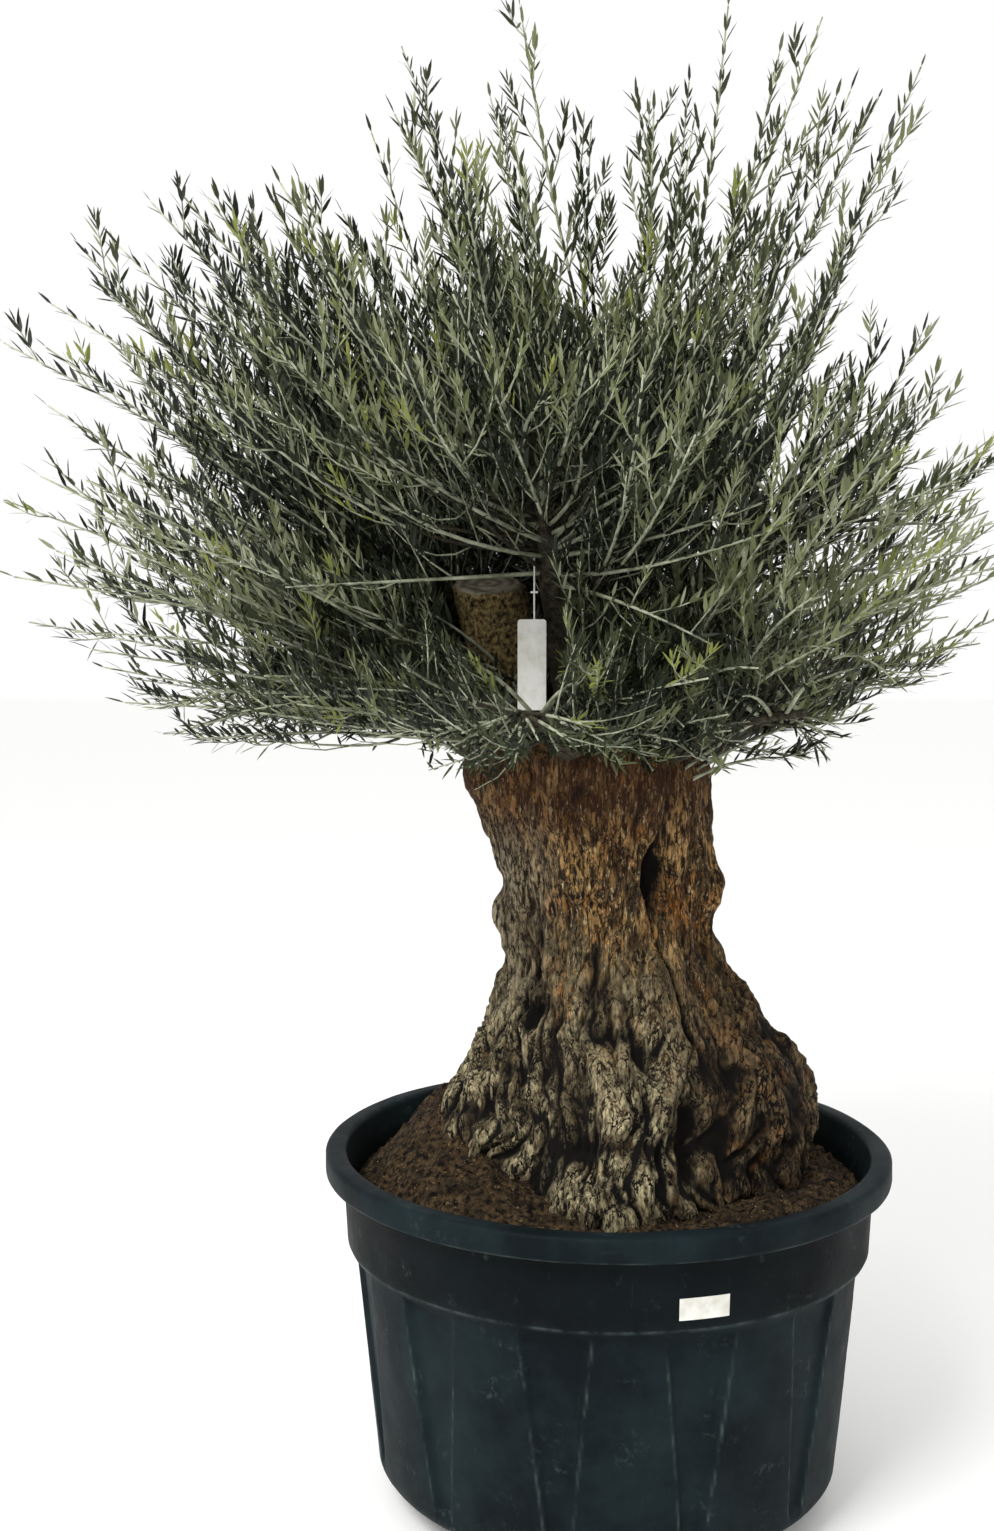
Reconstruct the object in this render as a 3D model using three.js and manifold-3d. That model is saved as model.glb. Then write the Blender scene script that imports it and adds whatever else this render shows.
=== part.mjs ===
// A pollarded olive tree, grown as a large bonsai, in a round nursery pot.
// Millimetres, +Z up. The origin is under the middle of the pot, +X is to the right of the
// show side and -Y is towards the person who looks at it.
import * as THREE from 'three';
import { mergeVertices } from 'three/addons/utils/BufferGeometryUtils.js';
import Module from 'manifold-3d';

const wasm = await Module();
wasm.setup();

// Driving dimensions

const CLEARANCE = 0.3; // between pieces that rest on or grow out of each other
const WELD = 1e-3; // vertices nearer than this are one

const POT = {
  height: 545,
  rimRadius: 440,
  lipHeight: 38,
  lipTopWidth: 32,
  lipBevel: 8,
  bandTopRadius: 412,
  bandFootRadius: 407,
  bandFootHeight: 403,
  bodyTopRadius: 394,
  bodyFootRadius: 359,
  footBevelHeight: 50,
  footBevelWidth: 84,
  floor: 12,
  innerFootRadius: 283,
  innerBandRadius: 376,
  flutes: 12, // tapered recesses round the body, under the band
  firstFlute: -74, // degrees from +X
  fluteDepth: 8,
  fluteFoot: 62,
  fluteTop: 390,
  fluteSlope: 9, // height of the ramp at the flute's ends
  fluteFootWidth: 4, // degrees
  fluteTopWidth: 14,
  fluteSideWidth: 0.8,
  fluteColumns: 5, // of facets to each flute
};

const SOIL = {
  edgeHeight: 480, // where the compost meets the pot's wall
  seatRadius: 340, // the level middle that the trunk stands on
  seatHeight: 507,
  browOut: 0.45, // share of the slope's run and rise where it rounds over
  browUp: 0.62,
};

const TRUNK = {
  groundHeight: SOIL.seatHeight + CLEARANCE,
  waistRadius: 156,
  waistHeight: 400,
  baseRadius: 270,
  flareFoot: 50, // the flare spreads between these heights
  flareHeight: 385,
  headRadius: 178,
  headHeight: 640,
  domeHeight: 125,
  leanAtHead: -29, // along X
  leanAtBase: 8,
  roots: 5,
  rootDepth: 26,
  rootTurn: 54, // degrees, so that one root points to the front
  ribs: 7,
  ribDepth: 6,
  segments: 40,
  rings: 14,
  domeRings: 3,
};

// Burls, buttresses and hollows of the trunk: degrees from +X, mm above ground, spread and depth in mm.
const TRUNK_BUMPS = [
  { azimuth: 0, height: 165, spread: 95, depth: 42 }, // the high buttress on the right
  { azimuth: 180, height: 215, spread: 110, depth: -26 },
  { azimuth: 2, height: 432, spread: 26, depth: 20 }, // burls on the waist
  { azimuth: 184, height: 395, spread: 36, depth: 14 },
  { azimuth: -58, height: 455, spread: 30, depth: -26 }, // the dark slot in the front
  { azimuth: -118, height: 300, spread: 36, depth: -16 }, // the groove beside the left strand
  { azimuth: 112, height: 350, spread: 60, depth: -18 },
  { azimuth: 60, height: 250, spread: 55, depth: 20 },
];

const HEAD = new THREE.Vector3(-20, 0, 1147); // the knuckle that all limbs spring from

// A limb sawn off square to its lean, beside the fork, that carries no foliage.
const SAWN_LIMB = {
  foot: new THREE.Vector3(-105, -70, 1057),
  tip: new THREE.Vector3(-186, -118, 1415),
  footRadius: 56,
  tipRadius: 52,
  cutTilt: 20, // degrees that the cut leans towards the front
  sides: 12,
};

// Rings of limbs round the head, in degrees. The widest spaces leave room for the sawn limb.
const LIMB_RINGS = [
  {
    name: 'lower',
    azimuths: [182, 254, 309, 2, 58, 120],
    elevation: 14,
    length: 290,
    footRadius: 32,
    tipRadius: 19,
  },
  {
    name: 'upper',
    azimuths: [181, 253, 325, 37, 109],
    elevation: 48,
    length: 390,
    footRadius: 44,
    tipRadius: 22,
  },
  {
    name: 'top',
    azimuths: [60],
    elevation: 86,
    length: 420,
    footRadius: 40,
    tipRadius: 20,
  },
];
const LIMB = {
  sides: 7,
  steps: 3,
  sag: 28, // how far the middle of a limb hangs under its chord
};

const CROWN = {
  centre: new THREE.Vector3(-160, 0, 1587),
  halfDepth: 770,
  fullness: 2.4, // front to back: 2 is an ellipse, more is squarer
  // Half breadths seen from the front, every 30 degrees from the right over the top.
  outline: [755, 690, 815, 705, 560, 735, 785, 755, 640, 600, 640, 785],
  lowest: 1112, // no leaf hangs below this height
  leaderDepth: 60, // leaders to the outline's points stand this far in front and behind, by turns
  lowestAim: -2, // degrees, of the lowest other shoots
  shoots: 104, // other than the leaders
  shortfall: 0.1, // of the reach, between the longest and the shortest shoots
};

// The clear way from the front to the sawn limb: a straight bore along Y.
const CROWN_WINDOW = { x: -180, z: 1367, radius: 62, behind: -60 };

const SHOOT = {
  stemShare: 0.34, // of the way from the limb's tip to the crown's edge
  stemSides: 5,
  stemFootRadius: 0.9, // of the limb's tip
  stemTipRadius: 7,
  lowestFoot: 0.3, // the shares of the stem that shoots spring from
  highestFoot: 0.97,
  sides: 3,
  steps: 3,
  shortest: 40,
  footRadius: 6.5,
  tipRadius: 2.2,
  bend: 1.15, // where a shoot turns outward, as a share of its foot's distance from the head
};

// Each leaf stands for a spray of real ones.
const LEAF = {
  length: 150,
  width: 36,
  thickness: 5,
  widest: 0.42, // share of the length
  angle: 36, // degrees from the shoot
  pairs: 2,
  firstPair: 0.34, // share of the shoot's length
  lastPair: 0.86,
  sunk: 8, // how far a tip leaf's root is inside the shoot
  margin: 2, // to the neighbouring mass's space
  limbMargin: 6,
};

const SEED = 7;

// Materials

const paint = (colour, roughness) =>
  new THREE.MeshStandardMaterial({ color: colour, roughness, metalness: 0 });
const MATERIALS = {
  pot: paint('#20282a', 0.55),
  soil: paint('#2b2118', 1),
  bark: paint('#5e4a33', 0.95),
  sawn: paint('#6b5234', 0.9),
  foliage: paint('#3c4632', 0.6),
};

// Numbers and vectors

const radians = THREE.MathUtils.degToRad;
const lerp = THREE.MathUtils.lerp;
const smooth = (x) => THREE.MathUtils.smoothstep(x, 0, 1);

// A fixed random number from 0 to 1 for each index and purpose.
function chance(index, purpose) {
  const wave = Math.sin(index * 12.9898 + (purpose + SEED) * 78.233) * 43758.5453;
  return wave - Math.floor(wave);
}

function aim(azimuthDegrees, elevationDegrees) {
  const azimuth = radians(azimuthDegrees);
  const elevation = radians(elevationDegrees);
  return new THREE.Vector3(
    Math.cos(azimuth) * Math.cos(elevation),
    Math.sin(azimuth) * Math.cos(elevation),
    Math.sin(elevation),
  );
}

const along = (from, direction, distance) => from.clone().addScaledVector(direction, distance);

// Solids

function toSolid(geometry) {
  const bare = new THREE.BufferGeometry().setAttribute('position', geometry.getAttribute('position'));
  bare.setIndex(geometry.index);
  const welded = mergeVertices(bare, WELD);
  const corners = welded.index.array;
  const triangles = [];
  for (let i = 0; i < corners.length; i += 3) {
    const [a, b, c] = corners.slice(i, i + 3);
    if (a !== b && b !== c && c !== a) triangles.push(a, b, c);
  }
  return new wasm.Manifold(
    new wasm.Mesh({
      numProp: 3,
      vertProperties: welded.getAttribute('position').array,
      triVerts: new Uint32Array(triangles),
    }),
  );
}

function toGeometry(solid) {
  const mesh = solid.getMesh();
  const geometry = new THREE.BufferGeometry();
  geometry.setAttribute('position', new THREE.BufferAttribute(mesh.vertProperties, 3));
  geometry.setIndex(new THREE.BufferAttribute(mesh.triVerts, 1));
  return geometry;
}

// The main body of a solid after its vertices are welded, without loose scraps.
function mainBody(solid) {
  const bodies = toSolid(toGeometry(solid)).decompose();
  return bodies.reduce((a, b) => (a.volume() > b.volume() ? a : b));
}

function node(name, solid, material) {
  const mesh = new THREE.Mesh(toGeometry(solid), material);
  mesh.geometry.computeVertexNormals();
  mesh.name = name;
  return mesh;
}

// A grid of rows turned about +Z, where place(column, row) gives each vertex as x, y, z.
function turned(rows, segments, place) {
  const profile = Array.from({ length: rows }, (_, row) => new THREE.Vector2(1, row));
  const geometry = new THREE.LatheGeometry(profile, segments);
  const position = geometry.getAttribute('position');
  for (let i = 0; i < position.count; i++) {
    const column = Math.floor(i / rows) % segments;
    position.setXYZ(i, ...place(column, i % rows));
  }
  return geometry;
}

const polar = (radius, azimuth, height) => [
  radius * Math.cos(azimuth),
  radius * Math.sin(azimuth),
  height,
];

// A tapering limb along a curve, with flat ends.
function limbSolid(curve, radiusAt, sides, steps) {
  const geometry = new THREE.CylinderGeometry(1, 1, 1, sides, steps);
  const frames = curve.computeFrenetFrames(steps);
  const position = geometry.getAttribute('position');
  const vertex = new THREE.Vector3();
  for (let i = 0; i < position.count; i++) {
    vertex.fromBufferAttribute(position, i);
    const share = vertex.y + 0.5;
    const step = Math.round(share * steps);
    const radius = radiusAt(share);
    const placed = curve.getPoint(share);
    placed.addScaledVector(frames.binormals[step], vertex.x * radius);
    placed.addScaledVector(frames.normals[step], vertex.z * radius);
    position.setXYZ(i, placed.x, placed.y, placed.z);
  }
  return toSolid(geometry);
}

// Pot: a turned wall with a lip, a smooth band and tapered flutes under it.

function potAzimuth(column) {
  const turn = (column - 2) / (POT.flutes * POT.fluteColumns);
  return radians(POT.firstFlute + 360 * turn);
}

function potSolid() {
  const { flutes, fluteDepth, fluteFoot, fluteTop, fluteSlope } = POT;
  const bodyRadius = (height) =>
    THREE.MathUtils.mapLinear(
      height, POT.footBevelHeight, fluteTop, POT.bodyFootRadius, POT.bodyTopRadius,
    );
  const lipFoot = POT.height - POT.lipHeight;
  const lipInner = POT.rimRadius - POT.lipTopWidth;
  const body = (height, recess = 0) => ({ radius: bodyRadius(height), height, fluted: true, recess });
  const ring = (radius, height) => ({ radius, height, fluted: false, recess: 0 });
  const rows = [
    ring(0, 0),
    ring(POT.bodyFootRadius - POT.footBevelWidth, 0),
    body(POT.footBevelHeight),
    body(fluteFoot),
    body(fluteFoot + fluteSlope, fluteDepth),
    body(fluteTop - fluteSlope, fluteDepth),
    body(fluteTop),
    ring(POT.bandFootRadius, POT.bandFootHeight),
    ring(POT.bandTopRadius, lipFoot),
    ring(POT.rimRadius - POT.lipBevel / 2, lipFoot),
    ring(POT.rimRadius, lipFoot + POT.lipBevel),
    ring(POT.rimRadius, POT.height - POT.lipBevel),
    ring(POT.rimRadius - POT.lipBevel, POT.height),
    ring(lipInner + POT.lipBevel, POT.height),
    ring(lipInner, POT.height - POT.lipBevel),
    ring(POT.innerBandRadius, POT.bandFootHeight),
    ring(POT.innerFootRadius, POT.floor),
    ring(0, POT.floor),
  ];

  // Five columns to a flute: its two edges, the two corners of its floor, and the middle of the land.
  const place = (column, row) => {
    const { radius, height, fluted, recess } = rows[row];
    if (!fluted) return polar(radius, potAzimuth(column), height);
    const share = THREE.MathUtils.clamp((height - fluteFoot) / (fluteTop - fluteFoot), 0, 1);
    const half = lerp(POT.fluteFootWidth, POT.fluteTopWidth, share) / 2;
    const side = POT.fluteSideWidth;
    const offsets = [-half - side, -half + side, half - side, half + side, 180 / flutes];
    const k = column % POT.fluteColumns;
    const middle = potAzimuth(column - k + 2);
    const inFlute = k === 1 || k === 2;
    return polar(radius - (inFlute ? recess : 0), middle + radians(offsets[k]), height);
  };
  return toSolid(turned(rows.length, flutes * POT.fluteColumns, place));
}

// Compost: fills the pot to below the lip and rises to a level seat round the trunk.

function soilSolid() {
  const lipInner = POT.rimRadius - POT.lipTopWidth;
  const innerTop = POT.height - POT.lipBevel;
  const share = (SOIL.edgeHeight - POT.bandFootHeight) / (innerTop - POT.bandFootHeight);
  const edgeRadius = lerp(POT.innerBandRadius, lipInner, share);
  const rows = [
    [0, POT.floor + CLEARANCE],
    [POT.innerFootRadius - CLEARANCE, POT.floor + CLEARANCE],
    [POT.innerBandRadius - CLEARANCE, POT.bandFootHeight],
    [edgeRadius - CLEARANCE, SOIL.edgeHeight],
    [
      lerp(SOIL.seatRadius, edgeRadius, SOIL.browOut),
      lerp(SOIL.edgeHeight, SOIL.seatHeight, SOIL.browUp),
    ],
    [SOIL.seatRadius, SOIL.seatHeight],
    [0, SOIL.seatHeight],
  ];
  const place = (column, row) => polar(rows[row][0], potAzimuth(column), rows[row][1]);
  return toSolid(turned(rows.length, POT.flutes * POT.fluteColumns, place));
}

// Trunk: a flared foot on buttress roots, a narrow waist, and a swollen head under a low dome.

function turnBetween(a, b) {
  return Math.atan2(Math.sin(a - b), Math.cos(a - b));
}

// Shares of the flare at the foot and of the swelling at the head, for a height above ground.
const flareAt = (height) =>
  1 - smooth((height - TRUNK.flareFoot) / (TRUNK.flareHeight - TRUNK.flareFoot));
const swellAt = (height) =>
  smooth((height - TRUNK.waistHeight) / (TRUNK.headHeight - TRUNK.waistHeight));
const leanAt = (height) =>
  TRUNK.leanAtHead * swellAt(height) + TRUNK.leanAtBase * flareAt(height);

function trunkRadius(azimuth, height) {
  const flare = flareAt(height);
  const swell = swellAt(height);
  let radius = TRUNK.waistRadius;
  radius += flare * (TRUNK.baseRadius - TRUNK.waistRadius);
  radius += swell * (TRUNK.headRadius - TRUNK.waistRadius);
  radius += flare * TRUNK.rootDepth * Math.cos(TRUNK.roots * (azimuth - radians(TRUNK.rootTurn)));
  radius += TRUNK.ribDepth * Math.cos(TRUNK.ribs * azimuth + height / TRUNK.flareHeight);
  for (const bump of TRUNK_BUMPS) {
    const across = turnBetween(azimuth, radians(bump.azimuth)) * TRUNK.waistRadius;
    const up = height - bump.height;
    radius += bump.depth * Math.exp(-(across ** 2 + up ** 2) / (2 * bump.spread ** 2));
  }
  const dome = Math.max(0, height - TRUNK.headHeight) / TRUNK.domeHeight;
  return radius * Math.sqrt(Math.max(0, 1 - dome ** 2));
}

function trunkSolid(grow = 0) {
  const { rings, domeRings, headHeight, domeHeight } = TRUNK;
  const heights = [0];
  for (let i = 0; i <= rings; i++) heights.push((i / rings) * headHeight);
  for (let i = 1; i <= domeRings; i++) {
    heights.push(headHeight + domeHeight * Math.sin((i / domeRings) * (Math.PI / 2)));
  }
  const last = heights.length - 1;
  const place = (column, row) => {
    const azimuth = (column / TRUNK.segments) * 2 * Math.PI;
    const height = heights[row];
    const onAxis = row === 0 || row === last;
    const radius = onAxis ? 0 : trunkRadius(azimuth, height) + grow;
    let z = TRUNK.groundHeight + height;
    if (row <= 1) z -= grow;
    if (height > headHeight) z += grow;
    const [x, y] = polar(radius, azimuth, z);
    return [x + leanAt(height), y, z];
  };
  return toSolid(turned(heights.length, TRUNK.segments, place));
}

function nearTrunk(point, margin) {
  const height = point.z - TRUNK.groundHeight;
  if (height < 0 || height > TRUNK.headHeight + TRUNK.domeHeight + margin) return false;
  const x = point.x - leanAt(height);
  const radius = trunkRadius(Math.atan2(point.y, x), Math.min(height, TRUNK.headHeight));
  return Math.hypot(x, point.y) < radius + margin;
}

// Limbs: one for each mass of foliage, cut clear of the trunk that they grow from.

function limbsOfRing(ring) {
  return ring.azimuths.map((azimuth, i) => {
    const direction = aim(azimuth, ring.elevation);
    const tip = along(HEAD, direction, ring.length);
    const middle = HEAD.clone().lerp(tip, 0.5);
    middle.z -= LIMB.sag;
    return {
      name: `${ring.name}_${i + 1}`,
      direction,
      tip,
      tipRadius: ring.tipRadius,
      curve: new THREE.QuadraticBezierCurve3(HEAD.clone(), middle, tip),
      radiusAt: (share) => lerp(ring.footRadius, ring.tipRadius, share),
    };
  });
}

const limbs = LIMB_RINGS.flatMap(limbsOfRing);

function boughSolid(limb, trunk, sawnLimb) {
  const whole = limbSolid(limb.curve, limb.radiusAt, LIMB.sides, LIMB.steps);
  return mainBody(whole.subtract(trunk).subtract(sawnLimb));
}

function sawnLimbSolid(trunk, grow = 0) {
  const { foot, tip, footRadius, tipRadius, cutTilt, sides } = SAWN_LIMB;
  const lean = tip.clone().sub(foot).normalize();
  const spare = along(tip, lean, tipRadius);
  const radiusAt = (share) => lerp(footRadius, tipRadius, share) + grow;
  const whole = limbSolid(new THREE.LineCurve3(foot, spare), radiusAt, sides, 3);
  const blade = 4 * tipRadius;
  const waste = new THREE.BoxGeometry(blade, blade, blade);
  waste.translate(0, 0, blade / 2);
  waste.rotateX(radians(cutTilt));
  waste.translate(tip.x, tip.y, tip.z);
  return mainBody(whole.subtract(toSolid(waste)).subtract(trunk));
}

// Foliage: shoots aimed evenly over the crown, each in the mass whose limb points nearest its way.

// The crown's half breadth at an angle seen from the front, eased between the listed ones.
function outlineAt(angle) {
  const { outline } = CROWN;
  const turn = THREE.MathUtils.euclideanModulo(angle / (2 * Math.PI), 1) * outline.length;
  const step = Math.floor(turn);
  return lerp(outline[step], outline[(step + 1) % outline.length], smooth(turn - step));
}

function inCrown(point) {
  const { x, y, z } = point.clone().sub(CROWN.centre);
  const breadth = Math.hypot(x, z) / outlineAt(Math.atan2(z, x));
  const depth = Math.abs(y) / CROWN.halfDepth;
  return breadth ** CROWN.fullness + depth ** CROWN.fullness < 1;
}

// How far the crown goes from the head in a direction, found by halving.
function crownReach(direction) {
  let inside = 0;
  let outside = 3 * CROWN.halfDepth;
  while (outside - inside > 1) {
    const middle = (inside + outside) / 2;
    if (inCrown(along(HEAD, direction, middle))) inside = middle;
    else outside = middle;
  }
  return inside;
}

// Directions spread evenly over the crown by the golden angle.
function shootAim(index, count) {
  const lowest = Math.sin(radians(CROWN.lowestAim));
  const rise = lerp(lowest, 1, (index + 0.5) / count);
  const azimuth = index * Math.PI * (3 - Math.sqrt(5));
  const level = Math.sqrt(1 - rise ** 2);
  return new THREE.Vector3(level * Math.cos(azimuth), level * Math.sin(azimuth), rise);
}

// A leader reaches each point of the outline that isn't too low, from just inside it.
function leaderShoots() {
  const points = CROWN.outline.map((breadth, i) => {
    const angle = (i / CROWN.outline.length) * 2 * Math.PI;
    const depth = CROWN.leaderDepth * (-1) ** i;
    const out = new THREE.Vector3(breadth * Math.cos(angle), depth, breadth * Math.sin(angle));
    return out.add(CROWN.centre);
  });
  const highEnough = points.filter((point) => point.z > CROWN.lowest);
  return highEnough.map((point) => {
    const out = point.sub(HEAD);
    return { direction: out.clone().normalize(), reach: out.length() - 2 * LEAF.margin };
  });
}

function evenShoots() {
  return Array.from({ length: CROWN.shoots }, (_, i) => {
    const direction = shootAim(i, CROWN.shoots);
    return { direction, reach: crownReach(direction) * (1 - CROWN.shortfall * chance(i, 1)) };
  });
}

const shoots = [...evenShoots(), ...leaderShoots()];

function nearestLimb(direction) {
  return limbs.reduce((a, b) => (a.direction.dot(direction) > b.direction.dot(direction) ? a : b));
}

// The space of a mass is bounded by the planes halfway between its limb and each other one.
function inOwnSpace(point, limb, margin) {
  const out = point.clone().sub(HEAD);
  return limbs.every((other) => {
    if (other === limb) return true;
    const across = limb.direction.clone().sub(other.direction).normalize();
    return out.dot(across) > margin;
  });
}

function distanceToLine(point, from, to) {
  const nearest = new THREE.Vector3();
  new THREE.Line3(from, to).closestPointToPoint(point, true, nearest);
  return nearest.distanceTo(point);
}

function touchesWood(point, limb, margin) {
  if (nearTrunk(point, margin)) return true;
  if (distanceToLine(point, HEAD, limb.tip) < limb.tipRadius + LIMB.sag / 2 + margin) return true;
  return distanceToLine(point, SAWN_LIMB.foot, SAWN_LIMB.tip) < SAWN_LIMB.footRadius + margin;
}

function inWindow(point) {
  if (point.y > CROWN_WINDOW.behind) return false;
  return Math.hypot(point.x - CROWN_WINDOW.x, point.z - CROWN_WINDOW.z) < CROWN_WINDOW.radius;
}

function isFree(point, limb) {
  if (point.z < CROWN.lowest || inWindow(point)) return false;
  if (!inCrown(point)) return false;
  return inOwnSpace(point, limb, LEAF.margin) && !touchesWood(point, limb, LEAF.limbMargin);
}

// A leaf is a three-sided spindle drawn out from root to tip, flat, widest below the middle.
function leafGeometry() {
  const geometry = new THREE.SphereGeometry(1, 3, 2).rotateX(Math.PI / 2);
  const position = geometry.getAttribute('position');
  const breadth = 2 * Math.sin(Math.PI / 3);
  const height = 1.5;
  for (let i = 0; i < position.count; i++) {
    const end = Math.round(position.getZ(i));
    const share = end === 0 ? LEAF.widest : (end + 1) / 2;
    const x = (position.getY(i) * LEAF.width) / breadth;
    const y = (-position.getX(i) * LEAF.thickness) / height;
    position.setXYZ(i, x, y, share * LEAF.length);
  }
  return geometry;
}

// Sets a leaf with its root inside the shoot, or gives null where it wouldn't be free.
function leafSolid(root, direction, side, limb) {
  const face = direction.clone().cross(side).normalize();
  const across = face.clone().cross(direction).normalize();
  const broad = along(root, direction, LEAF.length * LEAF.widest);
  const corners = [
    along(root, direction, LEAF.length),
    along(broad, across, LEAF.width / 2),
    along(broad, across, -LEAF.width / 2),
  ];
  if (!corners.every((corner) => isFree(corner, limb))) return null;
  const turn = new THREE.Matrix4().makeBasis(across, face, direction).setPosition(root);
  return toSolid(leafGeometry().applyMatrix4(turn));
}

// The leaves of one shoot: opposite pairs, each a quarter turn from the last, and one at the tip.
function leavesOf(curve, limb, turn) {
  const leaves = [];
  const side = new THREE.Vector3();
  for (let pair = 0; pair < LEAF.pairs; pair++) {
    const share = lerp(LEAF.firstPair, LEAF.lastPair, pair / (LEAF.pairs - 1));
    const root = curve.getPoint(share);
    const forward = curve.getTangent(share);
    side.crossVectors(forward, new THREE.Vector3(0, 0, 1)).normalize();
    side.applyAxisAngle(forward, turn + (pair * Math.PI) / 2);
    for (const hand of [-1, 1]) {
      const direction = forward.clone().multiplyScalar(Math.cos(radians(LEAF.angle)));
      direction.addScaledVector(side, hand * Math.sin(radians(LEAF.angle)));
      leaves.push(leafSolid(root, direction, side.clone().cross(forward), limb));
    }
  }
  const forward = curve.getTangent(1);
  const tipRoot = along(curve.getPoint(1), forward, -LEAF.sunk);
  side.crossVectors(forward, new THREE.Vector3(0, 0, 1)).normalize();
  side.applyAxisAngle(forward, turn);
  leaves.push(leafSolid(tipRoot, forward, side, limb));
  return leaves.filter(Boolean);
}

// One mass: a stem on the limb's tip, and shoots that leave it and bend out to their aims.
function massSolid(limb) {
  const outward = limb.curve.getTangent(1);
  const foot = along(limb.tip, outward, CLEARANCE);
  const stemLength = SHOOT.stemShare * (crownReach(limb.direction) - limb.tip.distanceTo(HEAD));
  const stem = new THREE.LineCurve3(foot, along(foot, outward, stemLength));
  const stemFootRadius = SHOOT.stemFootRadius * limb.tipRadius;
  const stemRadius = (share) => lerp(stemFootRadius, SHOOT.stemTipRadius, share);
  const shootRadius = (share) => lerp(SHOOT.footRadius, SHOOT.tipRadius, share);
  const pieces = [limbSolid(stem, stemRadius, SHOOT.stemSides, 1)];

  shoots.forEach(({ direction, reach }, i) => {
    if (nearestLimb(direction) !== limb) return;
    const end = along(HEAD, direction, reach - LEAF.length + LEAF.sunk - 1);
    const wide = direction.angleTo(limb.direction);
    const start = stem.getPoint(Math.max(SHOOT.lowestFoot, SHOOT.highestFoot - wide));
    if (end.distanceTo(HEAD) < start.distanceTo(HEAD) + SHOOT.shortest) return;
    const control = along(HEAD, direction, SHOOT.bend * start.distanceTo(HEAD));
    const curve = new THREE.QuadraticBezierCurve3(start, control, end);
    const samples = curve.getPoints(SHOOT.steps * 2).slice(1, -1);
    if (!samples.every((point) => isFree(point, limb))) return;
    const turn = Math.PI * chance(i, 2);
    pieces.push(limbSolid(curve, shootRadius, SHOOT.sides, SHOOT.steps));
    pieces.push(...leavesOf(curve, limb, turn));
  });
  return mainBody(wasm.Manifold.union(pieces));
}

// The tree in its pot

const tree = new THREE.Group();
const clearOfTrunk = trunkSolid(CLEARANCE);
const clearOfSawnLimb = sawnLimbSolid(clearOfTrunk, CLEARANCE);
tree.add(node('pot', potSolid(), MATERIALS.pot));
tree.add(node('soil', soilSolid(), MATERIALS.soil));
tree.add(node('trunk', trunkSolid(), MATERIALS.bark));
tree.add(node('sawn_limb', sawnLimbSolid(clearOfTrunk), MATERIALS.sawn));
for (const limb of limbs) {
  tree.add(node(`bough_${limb.name}`, boughSolid(limb, clearOfTrunk, clearOfSawnLimb), MATERIALS.bark));
  tree.add(node(`foliage_${limb.name}`, massSolid(limb), MATERIALS.foliage));
}

export default tree;
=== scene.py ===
# %% [markdown]
# # An old olive in a nursery pot
# The tree is an olive that was cut back hard, so that all its young wands spring from one knuckle
# on a short, thick trunk. It stands in a round black pot, as tree nurseries sell it.
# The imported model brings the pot, the soil, the trunk, the boughs and plain masses of foliage at
# their true size. Blender gives each of them its surface, in the same frame and in metres.

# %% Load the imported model
import math

import bpy
import numpy as np
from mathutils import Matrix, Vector, noise


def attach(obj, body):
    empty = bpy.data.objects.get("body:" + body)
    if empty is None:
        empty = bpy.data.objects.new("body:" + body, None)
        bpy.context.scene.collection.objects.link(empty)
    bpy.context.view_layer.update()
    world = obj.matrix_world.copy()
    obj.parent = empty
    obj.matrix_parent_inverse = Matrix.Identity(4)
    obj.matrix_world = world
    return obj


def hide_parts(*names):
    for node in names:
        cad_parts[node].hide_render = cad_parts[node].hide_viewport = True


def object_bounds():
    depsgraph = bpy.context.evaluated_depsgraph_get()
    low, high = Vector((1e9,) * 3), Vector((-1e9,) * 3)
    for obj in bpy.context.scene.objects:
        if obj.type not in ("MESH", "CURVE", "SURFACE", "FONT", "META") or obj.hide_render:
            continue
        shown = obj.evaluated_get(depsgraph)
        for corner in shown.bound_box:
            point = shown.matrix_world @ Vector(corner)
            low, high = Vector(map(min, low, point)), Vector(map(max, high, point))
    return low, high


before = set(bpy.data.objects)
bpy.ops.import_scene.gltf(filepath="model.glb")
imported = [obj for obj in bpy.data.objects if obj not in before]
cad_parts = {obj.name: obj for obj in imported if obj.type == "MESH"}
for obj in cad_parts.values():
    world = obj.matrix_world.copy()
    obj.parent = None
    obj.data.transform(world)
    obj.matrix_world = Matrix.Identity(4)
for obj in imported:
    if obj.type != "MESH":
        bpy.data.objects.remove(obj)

cad_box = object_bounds()
print("packed model:", len(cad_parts), "nodes, top at", round(cad_box[1].z, 3), "m")

# %% [markdown]
# ## Helpers for colours and materials
# Colours are picked as sRGB hex values, but shaders count in linear light, so one function converts
# them. Node materials could be wired by hand in the editor. In a script one function that adds a
# node, sets it and links it keeps each material down to a short list.

# %% Colour and material helpers
def linear(hex_colour):
    """An sRGB hex colour as linear red, green, blue and alpha."""
    parts = [int(hex_colour[i : i + 2], 16) / 255 for i in (1, 3, 5)]
    return [c / 12.92 if c <= 0.04045 else ((c + 0.055) / 1.055) ** 2.4 for c in parts] + [1.0]


def start_material(name):
    material = bpy.data.materials.new(name)
    material.use_nodes = True
    return material


def feed(material, node, inputs):
    """Links a node's inputs to outputs, or sets them to values. A string is a hex colour."""
    for name, value in inputs.items():
        if isinstance(value, bpy.types.NodeSocket):
            material.node_tree.links.new(value, node.inputs[name])
        else:
            node.inputs[name].default_value = linear(value) if isinstance(value, str) else value


def add(material, kind, inputs, output=0, **settings):
    """Adds a node with its settings and links, and returns the named output."""
    node = material.node_tree.nodes.new("ShaderNode" + kind)
    for name, value in settings.items():
        setattr(node, name, value)
    feed(material, node, inputs)
    return node.outputs[output]


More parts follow.
